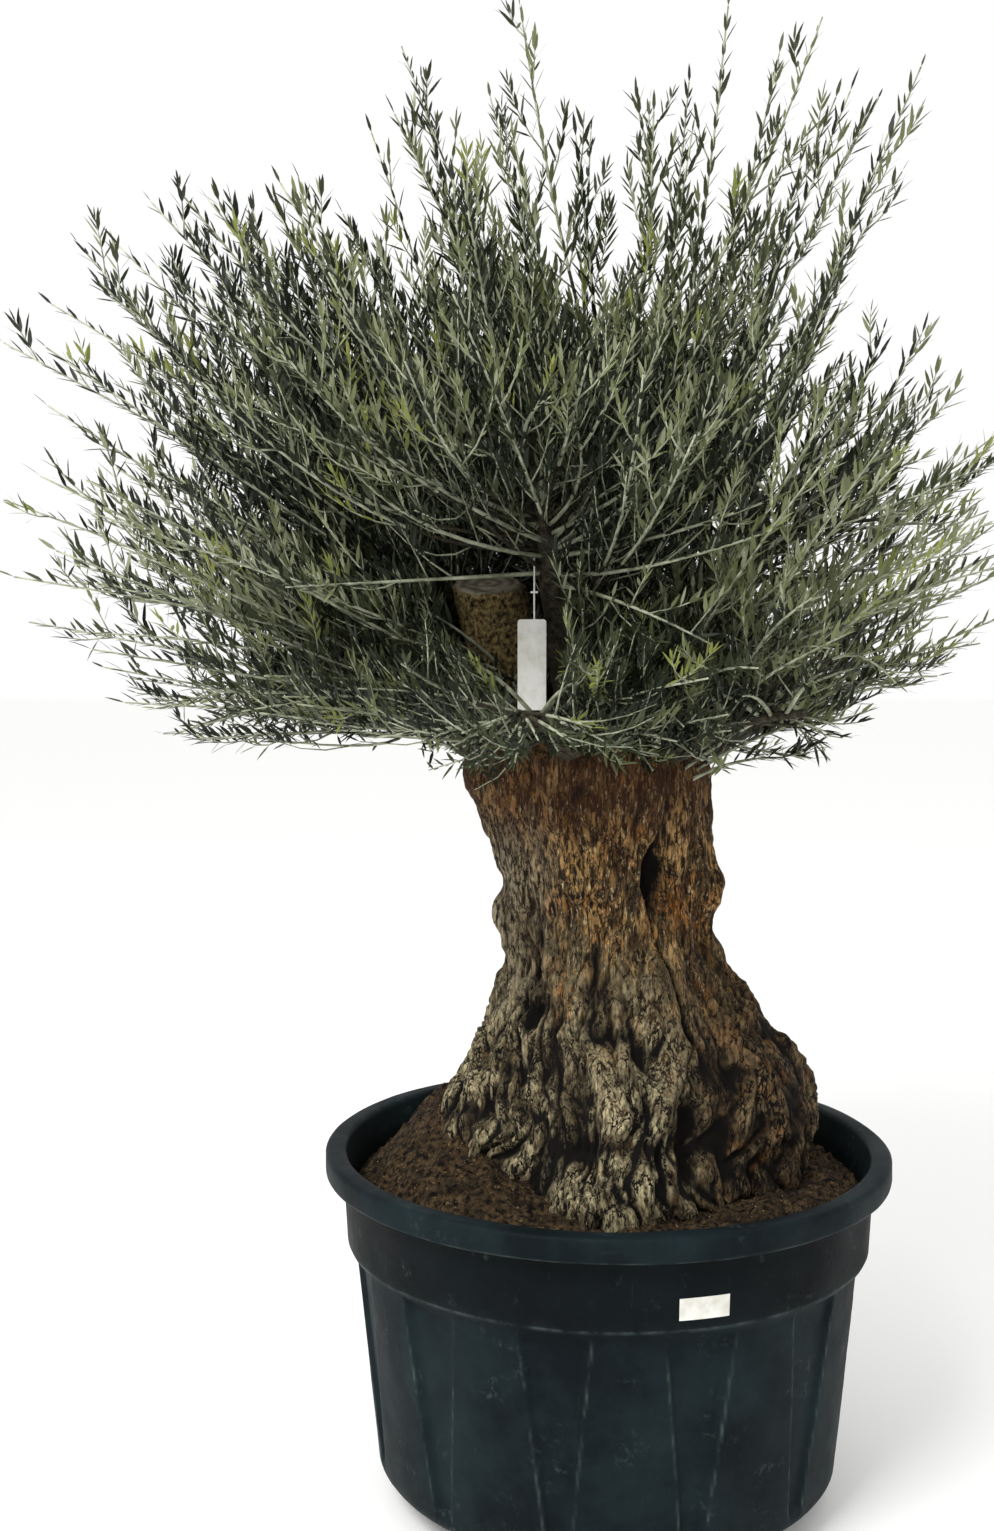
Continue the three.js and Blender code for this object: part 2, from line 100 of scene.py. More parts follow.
def finish_material(material, **sockets):
    """Links or sets the shader's sockets, with _ for a space in a socket's name."""
    shader = material.node_tree.nodes["Principled BSDF"]
    feed(material, shader, {name.replace("_", " "): value for name, value in sockets.items()})
    return material


print("colour and material helpers ready")

# %% [markdown]
# ## Helpers for patterns
# The same few patterns come again in every finish: soft spots, thin winding lines, a change along an
# axis, a number kept on the vertices, and a colour painted over another where several shares meet.

# %% Pattern helpers
def spots(material, place, size, low, high, least=0.0, most=1.0):
    """A mask of soft spots of a size in metres, cut between two levels of a noise."""
    inputs = {"Vector": place, "Scale": 1 / size, "Detail": 6.0, "Roughness": 0.65}
    level = add(material, "TexNoise", inputs)
    limits = {"From Min": low, "From Max": high, "To Min": least, "To Max": most}
    return add(material, "MapRange", {"Value": level, **limits})


def veins(material, place, size, width):
    """A mask of thin winding lines, where a noise of a size in metres crosses its middle level."""
    inputs = {"Vector": place, "Scale": 1 / size, "Detail": 5.0, "Roughness": 0.6}
    level = add(material, "TexNoise", inputs)
    return add(material, "Math", {0: level, 1: 0.5, 2: width}, operation="COMPARE")


def fade(material, place, axis, start, end, most=1.0):
    """A share that grows from 0 to its most between two places on an axis."""
    along_axis = add(material, "SeparateXYZ", {0: place}, axis)
    limits = {"From Min": start, "From Max": end, "To Max": most}
    return add(material, "MapRange", {"Value": along_axis, **limits})


def stored(material, name, low, high):
    """A share from a number that is kept on the vertices, cut between two levels."""
    level = add(material, "Attribute", {}, "Fac", attribute_name=name)
    return add(material, "MapRange", {"Value": level, "From Min": low, "From Max": high})


def paint(material, under, over, *shares):
    """One colour or output over another, as far as all the shares go together."""
    share = shares[0]
    for other in shares[1:]:
        share = add(material, "Math", {0: share, 1: other}, operation="MULTIPLY")
    return add(material, "Mix", {0: share, 6: under, 7: over}, 2, data_type="RGBA")


print("pattern helpers ready")

# %% [markdown]
# ## Camera
# The rim and the base of the pot are circles, so their ellipses in the picture tell where the lens
# stood: about 2.6 m in front, at the height of the fork, looking slightly down. The long side of
# the picture is its height, and Blender measures the lens along the long side.

# %% Camera
CAMERA_PLACE = (-0.172, -2.56, 1.319)
CAMERA_TILT = 4.05  # degrees below level
FOCAL_PIXELS = 1651
PICTURE_HEIGHT = 1531  # pixels
SENSOR = 36.0  # mm

bpy.ops.object.camera_add(
    location=CAMERA_PLACE, rotation=(math.radians(90 - CAMERA_TILT), 0, 0)
)
camera = bpy.context.object
camera.data.sensor_width = SENSOR
camera.data.lens = SENSOR * FOCAL_PIXELS / PICTURE_HEIGHT
bpy.context.scene.camera = camera
print("lens", round(camera.data.lens, 2), "mm")

# %% [markdown]
# ## Light and floor
# A tree this wide wants light from everywhere, as under a bright overcast sky: a white world, and
# one large soft lamp high on the left so that the bark's ridges still cast shade.
# The floor is a plain pale sheet. The view transform is Standard, which shows hex colours as picked.

# %% Light and floor
WORLD_STRENGTH = 1.0
LAMP_PLACE = (-2.4, -3.4, 4.6)
LAMP_AIM = Vector((0, 0, 1.1))
LAMP_SIZE = 2.2
LAMP_POWER = 260
FLOOR_SIZE = 80

bpy.context.scene.view_settings.view_transform = "Standard"
world = bpy.data.worlds.new("overcast_sky")
world.use_nodes = True
world.node_tree.nodes["Background"].inputs["Color"].default_value = linear("#ffffff")
world.node_tree.nodes["Background"].inputs["Strength"].default_value = WORLD_STRENGTH
bpy.context.scene.world = world

lamp_turn = (LAMP_AIM - Vector(LAMP_PLACE)).to_track_quat("-Z", "Y").to_euler()
bpy.ops.object.light_add(type="AREA", location=LAMP_PLACE, rotation=lamp_turn)
lamp = bpy.context.object
lamp.data.size = LAMP_SIZE
lamp.data.energy = LAMP_POWER

bpy.ops.mesh.primitive_plane_add(size=FLOOR_SIZE)
floor = bpy.context.object
floor.name = "floor"
sheet = finish_material(start_material("pale floor"), Base_Color="#fcfcfa", Roughness=0.9)
floor.data.materials.append(sheet)
print("floor and lamp placed")

# %% [markdown]
# ## Helpers for modelling
# Operators act on whatever is selected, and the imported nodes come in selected, so each piece starts
# from an empty selection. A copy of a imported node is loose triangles, so its doubles are merged
# before anything else is done to it.

# %% Modelling helpers
DOUBLES = 1e-6  # vertices nearer than this are one


def deselect():
    bpy.ops.object.select_all(action="DESELECT")


def make_active(piece):
    deselect()
    piece.select_set(True)
    bpy.context.view_layer.objects.active = piece


def apply_modifier(piece, kind, **settings):
    """Adds a modifier, sets it and applies it at once."""
    make_active(piece)
    modifier = piece.modifiers.new(kind.lower(), kind)
    for name, value in settings.items():
        setattr(modifier, name, value)
    bpy.ops.object.modifier_apply(modifier=modifier.name)


def join(pieces):
    """Joins objects into the first and returns it."""
    make_active(pieces[0])
    for piece in pieces:
        piece.select_set(True)
    if len(pieces) > 1:
        bpy.ops.object.join()
    return bpy.context.object


def joined_copy(name, nodes):
    """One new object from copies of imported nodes, with their doubles merged."""
    copies = []
    for node in nodes:
        copies.append(bpy.data.objects.new(name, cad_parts[node].data.copy()))
        copies[-1].data.materials.clear()
        bpy.context.collection.objects.link(copies[-1])
    piece = join(copies)
    bpy.ops.object.mode_set(mode="EDIT")
    bpy.ops.mesh.select_all(action="SELECT")
    bpy.ops.mesh.remove_doubles(threshold=DOUBLES)
    bpy.ops.object.mode_set(mode="OBJECT")
    return piece


def settle(piece, slot, *nodes):
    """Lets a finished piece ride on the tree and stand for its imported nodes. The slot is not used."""
    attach(piece, "root")
    if nodes:
        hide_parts(*nodes)
    triangles = sum(len(face.vertices) - 2 for face in piece.data.polygons)
    print(piece.name, triangles, "triangles")


print("modelling helpers ready")

# %% [markdown]
# ## Pot profile
# The pot is blow-moulded polyethylene: a plain foot, a body with tapered flutes, a smooth band and a
# rolled lip. Its profile is a list of rings, each with a radius and a height, from the underside up
# the wall, over the lip and down inside. Corners are arcs of a few rings.

# %% Pot profile
BODY_RINGS = 44
BAND_RINGS = 6
FOOT_BEVEL = (  # radius and height of each ring, as in the values below
    (0.272, 0.0), (0.280, 0.0015), (0.287, 0.0060), (0.346, 0.0420), (0.354, 0.0480), (0.3596, 0.0560),
)
BODY_TOP = (0.394, 0.390)
STEP_OUT = ((0.3955, 0.3925), (0.4045, 0.3985))  # from the body to the band
BAND_FOOT = (0.407, 0.404)
BAND_EDGE = (0.4071, 0.4062)
BAND_TOP = (0.412, 0.501)
UNDER_LIP = (0.4135, 0.5052)
INSIDE = ((0.376, 0.403), (0.283, 0.012))  # down the inner wall to the floor
LIP_ROUND = 0.008
LIP_RADIUS = 0.440
LIP_FOOT = 0.507
LIP_TOP = 0.545
LIP_WIDTH = 0.032


def arc(radius, height, size, start, end, steps=5):
    """Rings round a corner, from one angle to another, in degrees up from straight out."""
    angles = np.radians(np.linspace(start, end, steps))
    return [(radius + size * math.cos(a), height + size * math.sin(a)) for a in angles]


def straight(start, end, steps):
    """Rings between two others, with the last and without the first."""
    shares = np.linspace(0, 1, steps + 1)[1:]
    return [tuple(np.array(start) + (np.array(end) - start) * s) for s in shares]


lip_inside = LIP_RADIUS - LIP_WIDTH + LIP_ROUND
lip_outside = LIP_RADIUS - LIP_ROUND
rings = [*FOOT_BEVEL, *straight(FOOT_BEVEL[-1], BODY_TOP, BODY_RINGS)]
rings += [*STEP_OUT, BAND_FOOT, BAND_EDGE]
rings += [*straight(BAND_FOOT, BAND_TOP, BAND_RINGS), UNDER_LIP]
rings += arc(lip_outside, LIP_FOOT + LIP_ROUND, LIP_ROUND, -90, 0)
rings += arc(lip_outside, LIP_TOP - LIP_ROUND, LIP_ROUND, 0, 90)
rings += arc(lip_inside, LIP_TOP - LIP_ROUND, LIP_ROUND, 90, 180)
rings += INSIDE
print("pot profile of", len(rings), "rings")

# %% [markdown]
# ## Pot wall
# The wall could be spun from the profile. Here it grows like a thrown pot instead: the rim of a disc
# is extruded ring by ring, each ring scaled to its radius, and the last one is filled.

# %% Pot wall
POT_COLUMNS = 720

deselect()
bpy.ops.mesh.primitive_circle_add(
    vertices=POT_COLUMNS, radius=rings[0][0], location=(0, 0, rings[0][1]), fill_type="NGON"
)
pot = bpy.context.object
pot.name = "nursery_pot"
bpy.ops.object.transform_apply(location=True)
bpy.ops.object.mode_set(mode="EDIT")
bpy.ops.mesh.select_mode(type="EDGE")
bpy.ops.mesh.select_all(action="SELECT")
bpy.ops.mesh.region_to_loop()
for (radius, height), (next_radius, next_height) in zip(rings, rings[1:]):
    bpy.ops.mesh.extrude_region_move(
        TRANSFORM_OT_translate={"value": (0, 0, next_height - height)}
    )
    grow = next_radius / radius
    bpy.ops.transform.resize(value=(grow, grow, 1), center_override=(0, 0, next_height))
bpy.ops.mesh.edge_face_add()
bpy.ops.mesh.select_all(action="SELECT")
bpy.ops.mesh.normals_make_consistent(inside=False)
bpy.ops.object.mode_set(mode="OBJECT")
print("pot wall:", len(pot.data.vertices), "vertices")

# %% [markdown]
# ## Flutes
# The flutes are shallow recesses that widen towards the band and stiffen the wall. They could be
# inset by hand. Here a vertex group weighs how far each vertex lies inside a flute, so that a
# Displace modifier can push the group in.

# %% Flutes
FLUTES = 12
FIRST_FLUTE = -74  # degrees from +X
FLUTE_FOOT = 0.066
FLUTE_TOP = 0.390
FLUTE_RAMP = 0.010
FLUTE_HALF = (2.0, 7.0)  # degrees, at foot and top
FLUTE_SIDE = 0.8  # degrees
WARP_FOOT = (0.03, 0.10)  # the wall wanders above this height, fully after so much more


def smooth(share):
    """Eases a share from 0 to 1, as a number or an array."""
    share = np.clip(share, 0, 1)
    return share * share * (3 - 2 * share)


def between(limits, share):
    return limits[0] + (limits[1] - limits[0]) * share


def vertex_array(piece):
    return np.array([vertex.co for vertex in piece.data.vertices])


def weigh(piece, name, weights):
    """A vertex group from an array of weights."""
    group = piece.vertex_groups.new(name=name)
    for index in np.flatnonzero(weights > 0):
        group.add([int(index)], float(weights[index]), "REPLACE")


points = vertex_array(pot)
azimuth = np.degrees(np.arctan2(points[:, 1], points[:, 0]))
height = points[:, 2]
outside = np.arange(len(points)) < len(points) - len(INSIDE) * POT_COLUMNS
step = 360 / FLUTES
across = np.abs((azimuth - FIRST_FLUTE + step / 2) % step - step / 2)
half = between(FLUTE_HALF, np.clip((height - FLUTE_FOOT) / (FLUTE_TOP - FLUTE_FOOT), 0, 1))
in_flute = smooth((height - FLUTE_FOOT) / FLUTE_RAMP) * smooth((FLUTE_TOP - height) / FLUTE_RAMP)
in_flute = in_flute * (outside & (height < FLUTE_TOP))
weigh(pot, "wall", smooth((height - WARP_FOOT[0]) / WARP_FOOT[1]))
weigh(pot, "flutes", in_flute * (1 - smooth((across - half + FLUTE_SIDE) / (2 * FLUTE_SIDE))))
print("flutes:", FLUTES)

# %% [markdown]
# ## Wear, edge highlights and warp
# Edges rub pale with use and catch the light, so how near a vertex is to an edge goes into an
# attribute for the material, which paints them pale, partly as wear and partly as a painted highlight.
# Then one Displace modifier pushes the flutes in, and a second, very slight one makes the wall wander
# as hot plastic does.

# %% Wear, edge highlights and warp
FLUTE_DEPTH = 0.008
WARP_SIZE = 0.16
WARP = 0.003
WEAR_AND_HIGHLIGHT_LINE = 0.22  # degrees
WORN_AND_HIGHLIT_EDGES = ((BAND_FOOT[1], 0.0014), (LIP_FOOT + 0.002, 0.0012))  # height and reach
SHARP = math.radians(40)  # edges that bend further are shaded sharp


def store(piece, name, values):
    """A number for each vertex, which the material reads with an Attribute node."""
    attribute = piece.data.attributes.new(name, "FLOAT", "POINT")
    attribute.data.foreach_set("value", np.asarray(values, np.float32))


# pale lines along the flute edges, the band foot and the lip foot: partly wear, partly painted highlight
rubbed_and_highlit = in_flute * np.exp(-(((across - half - FLUTE_SIDE) / WEAR_AND_HIGHLIGHT_LINE) ** 2))
for edge_height, reach in WORN_AND_HIGHLIT_EDGES:
    rubbed_and_highlit += np.exp(-(((height - edge_height) / reach) ** 2)) * outside
store(pot, "wear_and_highlight", np.clip(rubbed_and_highlit, 0, 1))

apply_modifier(pot, "DISPLACE", vertex_group="flutes", strength=-FLUTE_DEPTH, mid_level=0)
warp = bpy.data.textures.new("warp", "CLOUDS")
warp.noise_scale = WARP_SIZE
apply_modifier(
    pot, "DISPLACE", texture=warp, texture_coords="LOCAL", vertex_group="wall", strength=WARP
)
bpy.ops.object.shade_smooth_by_angle(angle=SHARP)
print("worn vertices:", int((rubbed_and_highlit > 0.5).sum()))

# %% [markdown]
# ## Recycled polyethylene
# Nursery pots are moulded from recycled polyethylene, near black, half matt, with a cold grey-green
# bloom where sun and water have been. Edges are pale, partly rubbed and partly a painted highlight, fine
# upright scratches run down the body, and splashed compost dulls the foot. Each is a noise at its real
# size. The band between the step and the lip is painted darker, as shade under the lip.

# %% Pot material
plastic = start_material("moulded recycled polyethylene")
place = add(plastic, "TexCoord", {}, "Object")
upright = add(plastic, "Mapping", {"Vector": place, "Scale": (1, 1, 0.06)})
bloom = spots(plastic, place, 0.16, 0.38, 0.78)
scratches = spots(plastic, upright, 0.005, 0.66, 0.80, most=0.3)
scuffs = spots(plastic, place, 0.010, 0.52, 0.72)
patches = spots(plastic, place, 0.07, 0.55, 0.68)
wear_and_highlight = stored(plastic, "wear_and_highlight", 0.0, 1.0)
broken = spots(plastic, place, 0.05, 0.42, 0.66, most=0.42)
above_step = fade(plastic, place, "Z", 0.395, 0.41, 0.75)
below_lip = fade(plastic, place, "Z", 0.512, 0.500)
low = fade(plastic, place, "Z", 0.10, 0.0, 0.9)
wall = paint(plastic, "#0b1215", "#1c282b", bloom)
# painted shade: the band between the step and the lip is darker, as under the lip
wall = paint(plastic, wall, "#080b0d", above_step, below_lip)
wall = paint(plastic, wall, "#46524f", scratches)
wall = paint(plastic, wall, "#4d5a58", scuffs, patches, 0.5)
# pale edges: partly wear, partly painted highlight
wall = paint(plastic, wall, "#5f6c68", wear_and_highlight, broken)
wall = paint(plastic, wall, "#3a342b", low, scuffs)
dull = spots(plastic, place, 0.11, 0.3, 0.7, 0.45, 0.65)
peel = add(plastic, "TexNoise", {"Vector": place, "Scale": 1 / 0.006, "Detail": 3.0})
skin = add(plastic, "Bump", {"Height": peel, "Strength": 0.2, "Distance": 0.0015})
finish_material(plastic, Base_Color=wall, Roughness=dull, Specular_IOR_Level=0.05, Normal=skin)
pot.data.materials.append(plastic)
settle(pot, "pot", "pot")

# %% [markdown]
# ## Sticker
# A blank white label sticks to the band. It is one upright edge spun a few degrees round the pot's
# axis, so that it has the band's curve. A Shrinkwrap modifier lays it on the wall, and Solidify
# gives it the thickness of paper.

# %% Sticker
STICKER_TURN = -74.7  # degrees from +X, of its middle
STICKER_SIZE = (0.073, 0.031)
STICKER_HEIGHT = 0.434
STICKER_RADIUS = 0.4125
STICKER_ROWS = 4
STICKER_COLUMNS = 12
PAPER = 0.0004

half_turn = math.degrees(STICKER_SIZE[0] / STICKER_RADIUS) / 2
first_turn = math.radians(STICKER_TURN + half_turn)  # without a window Spin turns clockwise
deselect()
bpy.ops.mesh.primitive_plane_add(size=STICKER_SIZE[1])
sticker = bpy.context.object
sticker.name = "blank_sticker"
bpy.ops.object.mode_set(mode="EDIT")
bpy.ops.mesh.select_mode(type="VERT")
bpy.ops.mesh.select_all(action="SELECT")
bpy.ops.mesh.merge(type="CENTER")
bpy.ops.transform.translate(
    value=(
        STICKER_RADIUS * math.cos(first_turn),
        STICKER_RADIUS * math.sin(first_turn),
        STICKER_HEIGHT - STICKER_SIZE[1] / 2,
    )
)
row_rise = {"value": (0, 0, STICKER_SIZE[1] / STICKER_ROWS)}
for _ in range(STICKER_ROWS):
    bpy.ops.mesh.extrude_region_move(TRANSFORM_OT_translate=row_rise)
bpy.ops.mesh.select_all(action="SELECT")
bpy.ops.mesh.spin(
    steps=STICKER_COLUMNS, angle=math.radians(2 * half_turn), center=(0, 0, 0), axis=(0, 0, 1)
)
bpy.ops.mesh.select_all(action="SELECT")
bpy.ops.mesh.remove_doubles(threshold=DOUBLES)
bpy.ops.mesh.normals_make_consistent(inside=False)
bpy.ops.object.mode_set(mode="OBJECT")
apply_modifier(
    sticker, "SHRINKWRAP", target=pot, wrap_method="NEAREST_SURFACEPOINT", offset=2 * PAPER
)
apply_modifier(sticker, "SOLIDIFY", thickness=PAPER, offset=0)
print("sticker wrapped:", [round(v, 3) for v in vertex_array(sticker).mean(0)])

# %% [markdown]
# ## White paper and card
# Label paper and tag card are white, but rain and dust leave faint yellow-grey clouds on them. One
# material serves both.

# %% Paper material
card = start_material("weathered white card")
place = add(card, "TexCoord", {}, "Object")
stained = paint(card, "#dcdcd6", "#b9b5a6", spots(card, place, 0.025, 0.42, 0.78))
finish_material(card, Base_Color=stained, Roughness=0.6, Specular_IOR_Level=0.3)
sticker.data.materials.append(card)
settle(sticker, None)

# %% [markdown]
# ## Compost
# The pot is filled with dark compost that rises to the trunk, highest on the left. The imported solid
# has the plain form, so its top is cut off with Bisect, given an even mesh by a voxel Remesh, heaped
# up on the left by one Displace modifier and broken into clods and crumbs by two more.

# %% Compost
COMPOST_CUT = 0.452
COMPOST_VOXEL = 0.0055
CLODS = ((0.050, 0.022), (0.015, 0.026))  # size and height of clods and crumbs
FACES_UP = 0.3  # least rise of a normal on top
HEAP = 0.120
HEAP_EDGE = (0.385, 0.15)  # radius of its foot, and how far inwards it rises
HEAP_SPREAD = 46  # degrees to each side

soil = joined_copy("compost", ["soil"])
bpy.ops.object.mode_set(mode="EDIT")
bpy.ops.mesh.select_all(action="SELECT")
bpy.ops.mesh.bisect(
    plane_co=(0, 0, COMPOST_CUT), plane_no=(0, 0, 1), clear_inner=True, use_fill=True
)
bpy.ops.object.mode_set(mode="OBJECT")
apply_modifier(soil, "REMESH", mode="VOXEL", voxel_size=COMPOST_VOXEL)
points = vertex_array(soil)
on_top = np.array([vertex.normal.z > FACES_UP for vertex in soil.data.vertices]).astype(float)
radius = np.hypot(points[:, 0], points[:, 1])
from_left = np.degrees(np.abs(np.arctan2(points[:, 1], -points[:, 0])))
heaped = on_top * smooth((HEAP_EDGE[0] - radius) / HEAP_EDGE[1])
weigh(soil, "top", on_top)
weigh(soil, "heap", heaped * np.exp(-((from_left / HEAP_SPREAD) ** 2)))
apply_modifier(soil, "DISPLACE", vertex_group="heap", direction="Z", strength=HEAP, mid_level=0)
for size, rise in CLODS:
    clod = bpy.data.textures.new("clod", "CLOUDS")
    clod.noise_scale = size
    clod.noise_depth = 4
    lift = {"vertex_group": "top", "direction": "Z", "strength": rise, "mid_level": 0.4}
    apply_modifier(soil, "DISPLACE", texture=clod, texture_coords="LOCAL", **lift)
make_active(soil)
bpy.ops.object.shade_smooth()
print("compost skin:", len(soil.data.vertices), "vertices")

# %% [markdown]
# ## Moist compost
# Bark compost is dark brown with black hollows, and flecks of straw and bark show on top. Noises of
# the size of crumbs give all three, and one more drives the bump.

# %% Compost material
compost = start_material("moist bark compost")
place = add(compost, "TexCoord", {}, "Object")
earth = paint(compost, "#050302", "#4d3d29", spots(compost, place, 0.010, 0.40, 0.62))
earth = paint(compost, earth, "#100b07", spots(compost, place, 0.05, 0.45, 0.65, most=0.75))
earth = paint(compost, earth, "#8a7654", spots(compost, place, 0.006, 0.62, 0.68, most=0.8))
crumb = add(compost, "TexNoise", {"Vector": place, "Scale": 1 / 0.008, "Detail": 6.0})
skin = add(compost, "Bump", {"Height": crumb, "Strength": 0.9, "Distance": 0.008})
finish_material(compost, Base_Color=earth, Roughness=0.95, Specular_IOR_Level=0.15, Normal=skin)
soil.data.materials.append(compost)
settle(soil, "soil", "soil")

# %% [markdown]
# ## Trunk and boughs as even skins
# The real trunk and its sawn limb are one piece of wood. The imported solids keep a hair's gap, so
# copies of them are joined, and a voxel Remesh fuses them into one even skin. The boughs are a second,
# coarser skin, because leaves hide most of them. By hand, sculpting would come next. In a script
# the same strokes are noises measured along the grain.

# %% Trunk and bough skins
TRUNK_VOXEL = 0.0044
BOUGH_VOXEL = 0.005

trunk = joined_copy("trunk_bark", ["trunk", "sawn_limb"])
apply_modifier(trunk, "REMESH", mode="VOXEL", voxel_size=TRUNK_VOXEL)
apply_modifier(trunk, "SMOOTH", factor=0.5, iterations=12)
limb_names = [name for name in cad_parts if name.startswith("bough_")]
boughs = joined_copy("bough_bark", limb_names)
apply_modifier(boughs, "REMESH", mode="VOXEL", voxel_size=BOUGH_VOXEL)
apply_modifier(boughs, "SMOOTH", factor=0.5, iterations=5)
print("skins:", len(trunk.data.vertices), "and", len(boughs.data.vertices), "vertices")

# %% [markdown]
# ## Marks on the trunk
# The hollow in front, the burls and the deep clefts are single marks, placed one by one round the
# trunk. Each is a smooth bump or dent, longer or wider as the real one, that can lean to a side.

# %% Marks
MARKS = (  # degrees to the right of the front, height, half width and height, outward, lean to the right
    (25, 0.981, 0.014, 0.042, -0.038, 0.00),
    (25, 1.010, 0.008, 0.085, -0.012, 0.10),
    (33, 1.060, 0.016, 0.060, -0.008, 0.10),
    (19, 0.877, 0.014, 0.018, -0.009, 0.20),
    (-17, 0.877, 0.008, 0.016, -0.009, 0.00),
    (-20, 0.974, 0.032, 0.024, 0.009, 0.00),
    (-20, 0.974, 0.014, 0.009, -0.009, 0.00),
    (-16, 0.945, 0.030, 0.005, -0.006, -0.30),
    (76, 0.955, 0.030, 0.028, 0.014, 0.00),
    (60, 0.985, 0.022, 0.050, 0.010, 0.10),
    (84, 0.890, 0.060, 0.030, -0.012, 0.00),
    (-78, 0.921, 0.026, 0.022, 0.012, 0.00),
    (-53, 0.845, 0.008, 0.050, -0.017, -0.30),
    (-56, 0.940, 0.006, 0.070, -0.011, 0.05),
    (-50, 0.768, 0.012, 0.028, -0.024, 0.00),
    (-47, 0.878, 0.007, 0.015, -0.010, 0.00),
    (-68, 0.860, 0.020, 0.160, 0.009, 0.10),
    (18, 0.740, 0.022, 0.090, 0.015, 0.20),
    (12, 0.590, 0.024, 0.080, 0.017, -0.25),
    (-7, 0.612, 0.028, 0.036, -0.018, 0.00),
    (26, 0.630, 0.026, 0.060, -0.018, 0.00),
    (84, 0.690, 0.060, 0.055, -0.009, 0.00),
    (-2, 0.520, 0.150, 0.060, 0.020, 0.00),
    (-82, 1.125, 0.055, 0.045, 0.017, 0.00),
)


def marks_at(point, turn):
    """How far the marks together push out a point of the trunk."""
    total = 0
    radius = math.hypot(point.x, point.y)
    for mark_turn, mark_height, half_width, half_height, outward, lean in MARKS:
        up = point.z - mark_height
        side = math.remainder(turn - math.radians(mark_turn), math.tau) * radius - lean * up
        total += outward * math.exp(-((side / half_width) ** 2) - (up / half_height) ** 2)
    return total


print("marks:", len(MARKS))

# %% [markdown]
# ## Bark relief
# Old olive wood is built of strands that run up the trunk and twist a little. A noise that is
# stretched along the grain and folded at zero gives just that: rounded strands with sharp cracks
# between them, here at three widths. Low down they stand out far and lumps break them up. High up
# the wood is bare and nearly smooth.

# %% Bark relief
GROUND = 0.507
TWIST = 0.5  # radians of grain turn over a metre
WANDER = (0.30, 5)  # radians that strands swing to each side, and waves to a metre
RUFFLE = (0.07, 22)
MARK_RUFFLE = (0.14, 24)
GRAIN_RADIUS = 0.16  # the waist, on which grain widths are measured
STRANDS = (  # width, stretch, height on rough bark and bare wood, crest, depth and width of the cracks
    (0.040, 0.14, 0.036, 0.018, 0.6, 0.7, 0.06),
    (0.017, 0.13, 0.034, 0.011, 1.0, 0.7, 0.09),
    (0.0075, 0.20, 0.011, 0.003, 0.6, 0.4, 0.12),
)
LUMP = (0.050, 0.006, 0.004)  # size, height on rough bark and bare wood
LUMP_WAVES = (0.8, 2.1, 4)  # how waves of the lumps lose height, how they shorten, and how many
SUNK = (0.019, 0.006)  # rough bark and bare wood start this far below the skin
ROUGH = (0.14, 0.52)  # heights above ground between which rough bark gives way to bare wood
CRACKED = (0.45, 1.0)  # depth of cracks in bare wood and in rough bark
PITS = (0.6, 0.05)  # depth of the hollows between lumps, and where they start
MARK_DEPTH = (0.003, 0.020)  # depth from which a dent is painted dark with shade like a crack, and how much more for all of it
MARK_CREST = 0.03  # height of a bump that is crest all over
LIMB_HEIGHT = 0.66  # above ground, where the limbs leave the head
LIMB_RELIEF = 0.5  # share of the relief that the limbs have


def swing(point, amount):
    return amount[0] * noise.noise(point * amount[1])


def relief(point):
    """How far the bark stands out at a point, how deep it lies in a crack, and how high on a crest."""
    height = point.z - GROUND
    front_turn = math.atan2(point.x, -point.y)
    turn = front_turn + TWIST * height + (swing(point, WANDER) + swing(point, RUFFLE))
    rough = 1 - float(smooth((height - ROUGH[0]) / (ROUGH[1] - ROUGH[0])))
    lump = noise.fractal(point / LUMP[0], *LUMP_WAVES)
    broken = bare = crest = seams = 0
    for width, stretch, rough_height, bare_height, crest_share, seam_depth, seam_width in STRANDS:
        on_waist = (GRAIN_RADIUS * math.cos(turn), GRAIN_RADIUS * math.sin(turn), height * stretch)
        strand = noise.noise(Vector(on_waist) / width)
        broken += rough_height * abs(strand)
        bare += bare_height * abs(strand)
        crest += crest_share * abs(strand)
        seams += seam_depth * math.exp(-((strand / seam_width) ** 2))
    broken += LUMP[1] * lump - SUNK[0]
    bare += LUMP[2] * lump - SUNK[1]
    out = rough * broken + (1 - rough) * bare
    depth = between(CRACKED, rough) * seams + PITS[0] * rough * max(0, -lump - PITS[1])
    if height > LIMB_HEIGHT:
        return LIMB_RELIEF * out, LIMB_RELIEF * depth, crest
    mark = marks_at(point, front_turn + swing(point, MARK_RUFFLE))
    depth += max(0, -mark - MARK_DEPTH[0]) / MARK_DEPTH[1]
    return out + mark, depth, crest + max(0, mark) / MARK_CREST


print("grain at", len(STRANDS), "widths")

# %% [markdown]
# ## Carving
# A Displace modifier can't turn its noise round the trunk with the grain. So each vertex of a skin is
# moved along its normal here, and its depth in a crack and its height on a crest are stored for the
# material, which paints shade into the cracks and a cream highlight, partly lichen, onto the crests.

# %% Carving
DEEPEST = 1.5  # depth in cracks that is stored as 1

for piece in (trunk, boughs):
    results = [relief(vertex.co) for vertex in piece.data.vertices]
    places = [v.co + v.normal * result[0] for v, result in zip(piece.data.vertices, results)]
    for vertex, place in zip(piece.data.vertices, places):
        vertex.co = place
    # the depth in cracks and dents, which the material paints dark as shade
    store(piece, "hollow", [min(result[1], DEEPEST) / DEEPEST for result in results])
    store(piece, "crest", [min(result[2], 1) for result in results])
    make_active(piece)
    bpy.ops.object.shade_smooth()
    print("carved", piece.name)
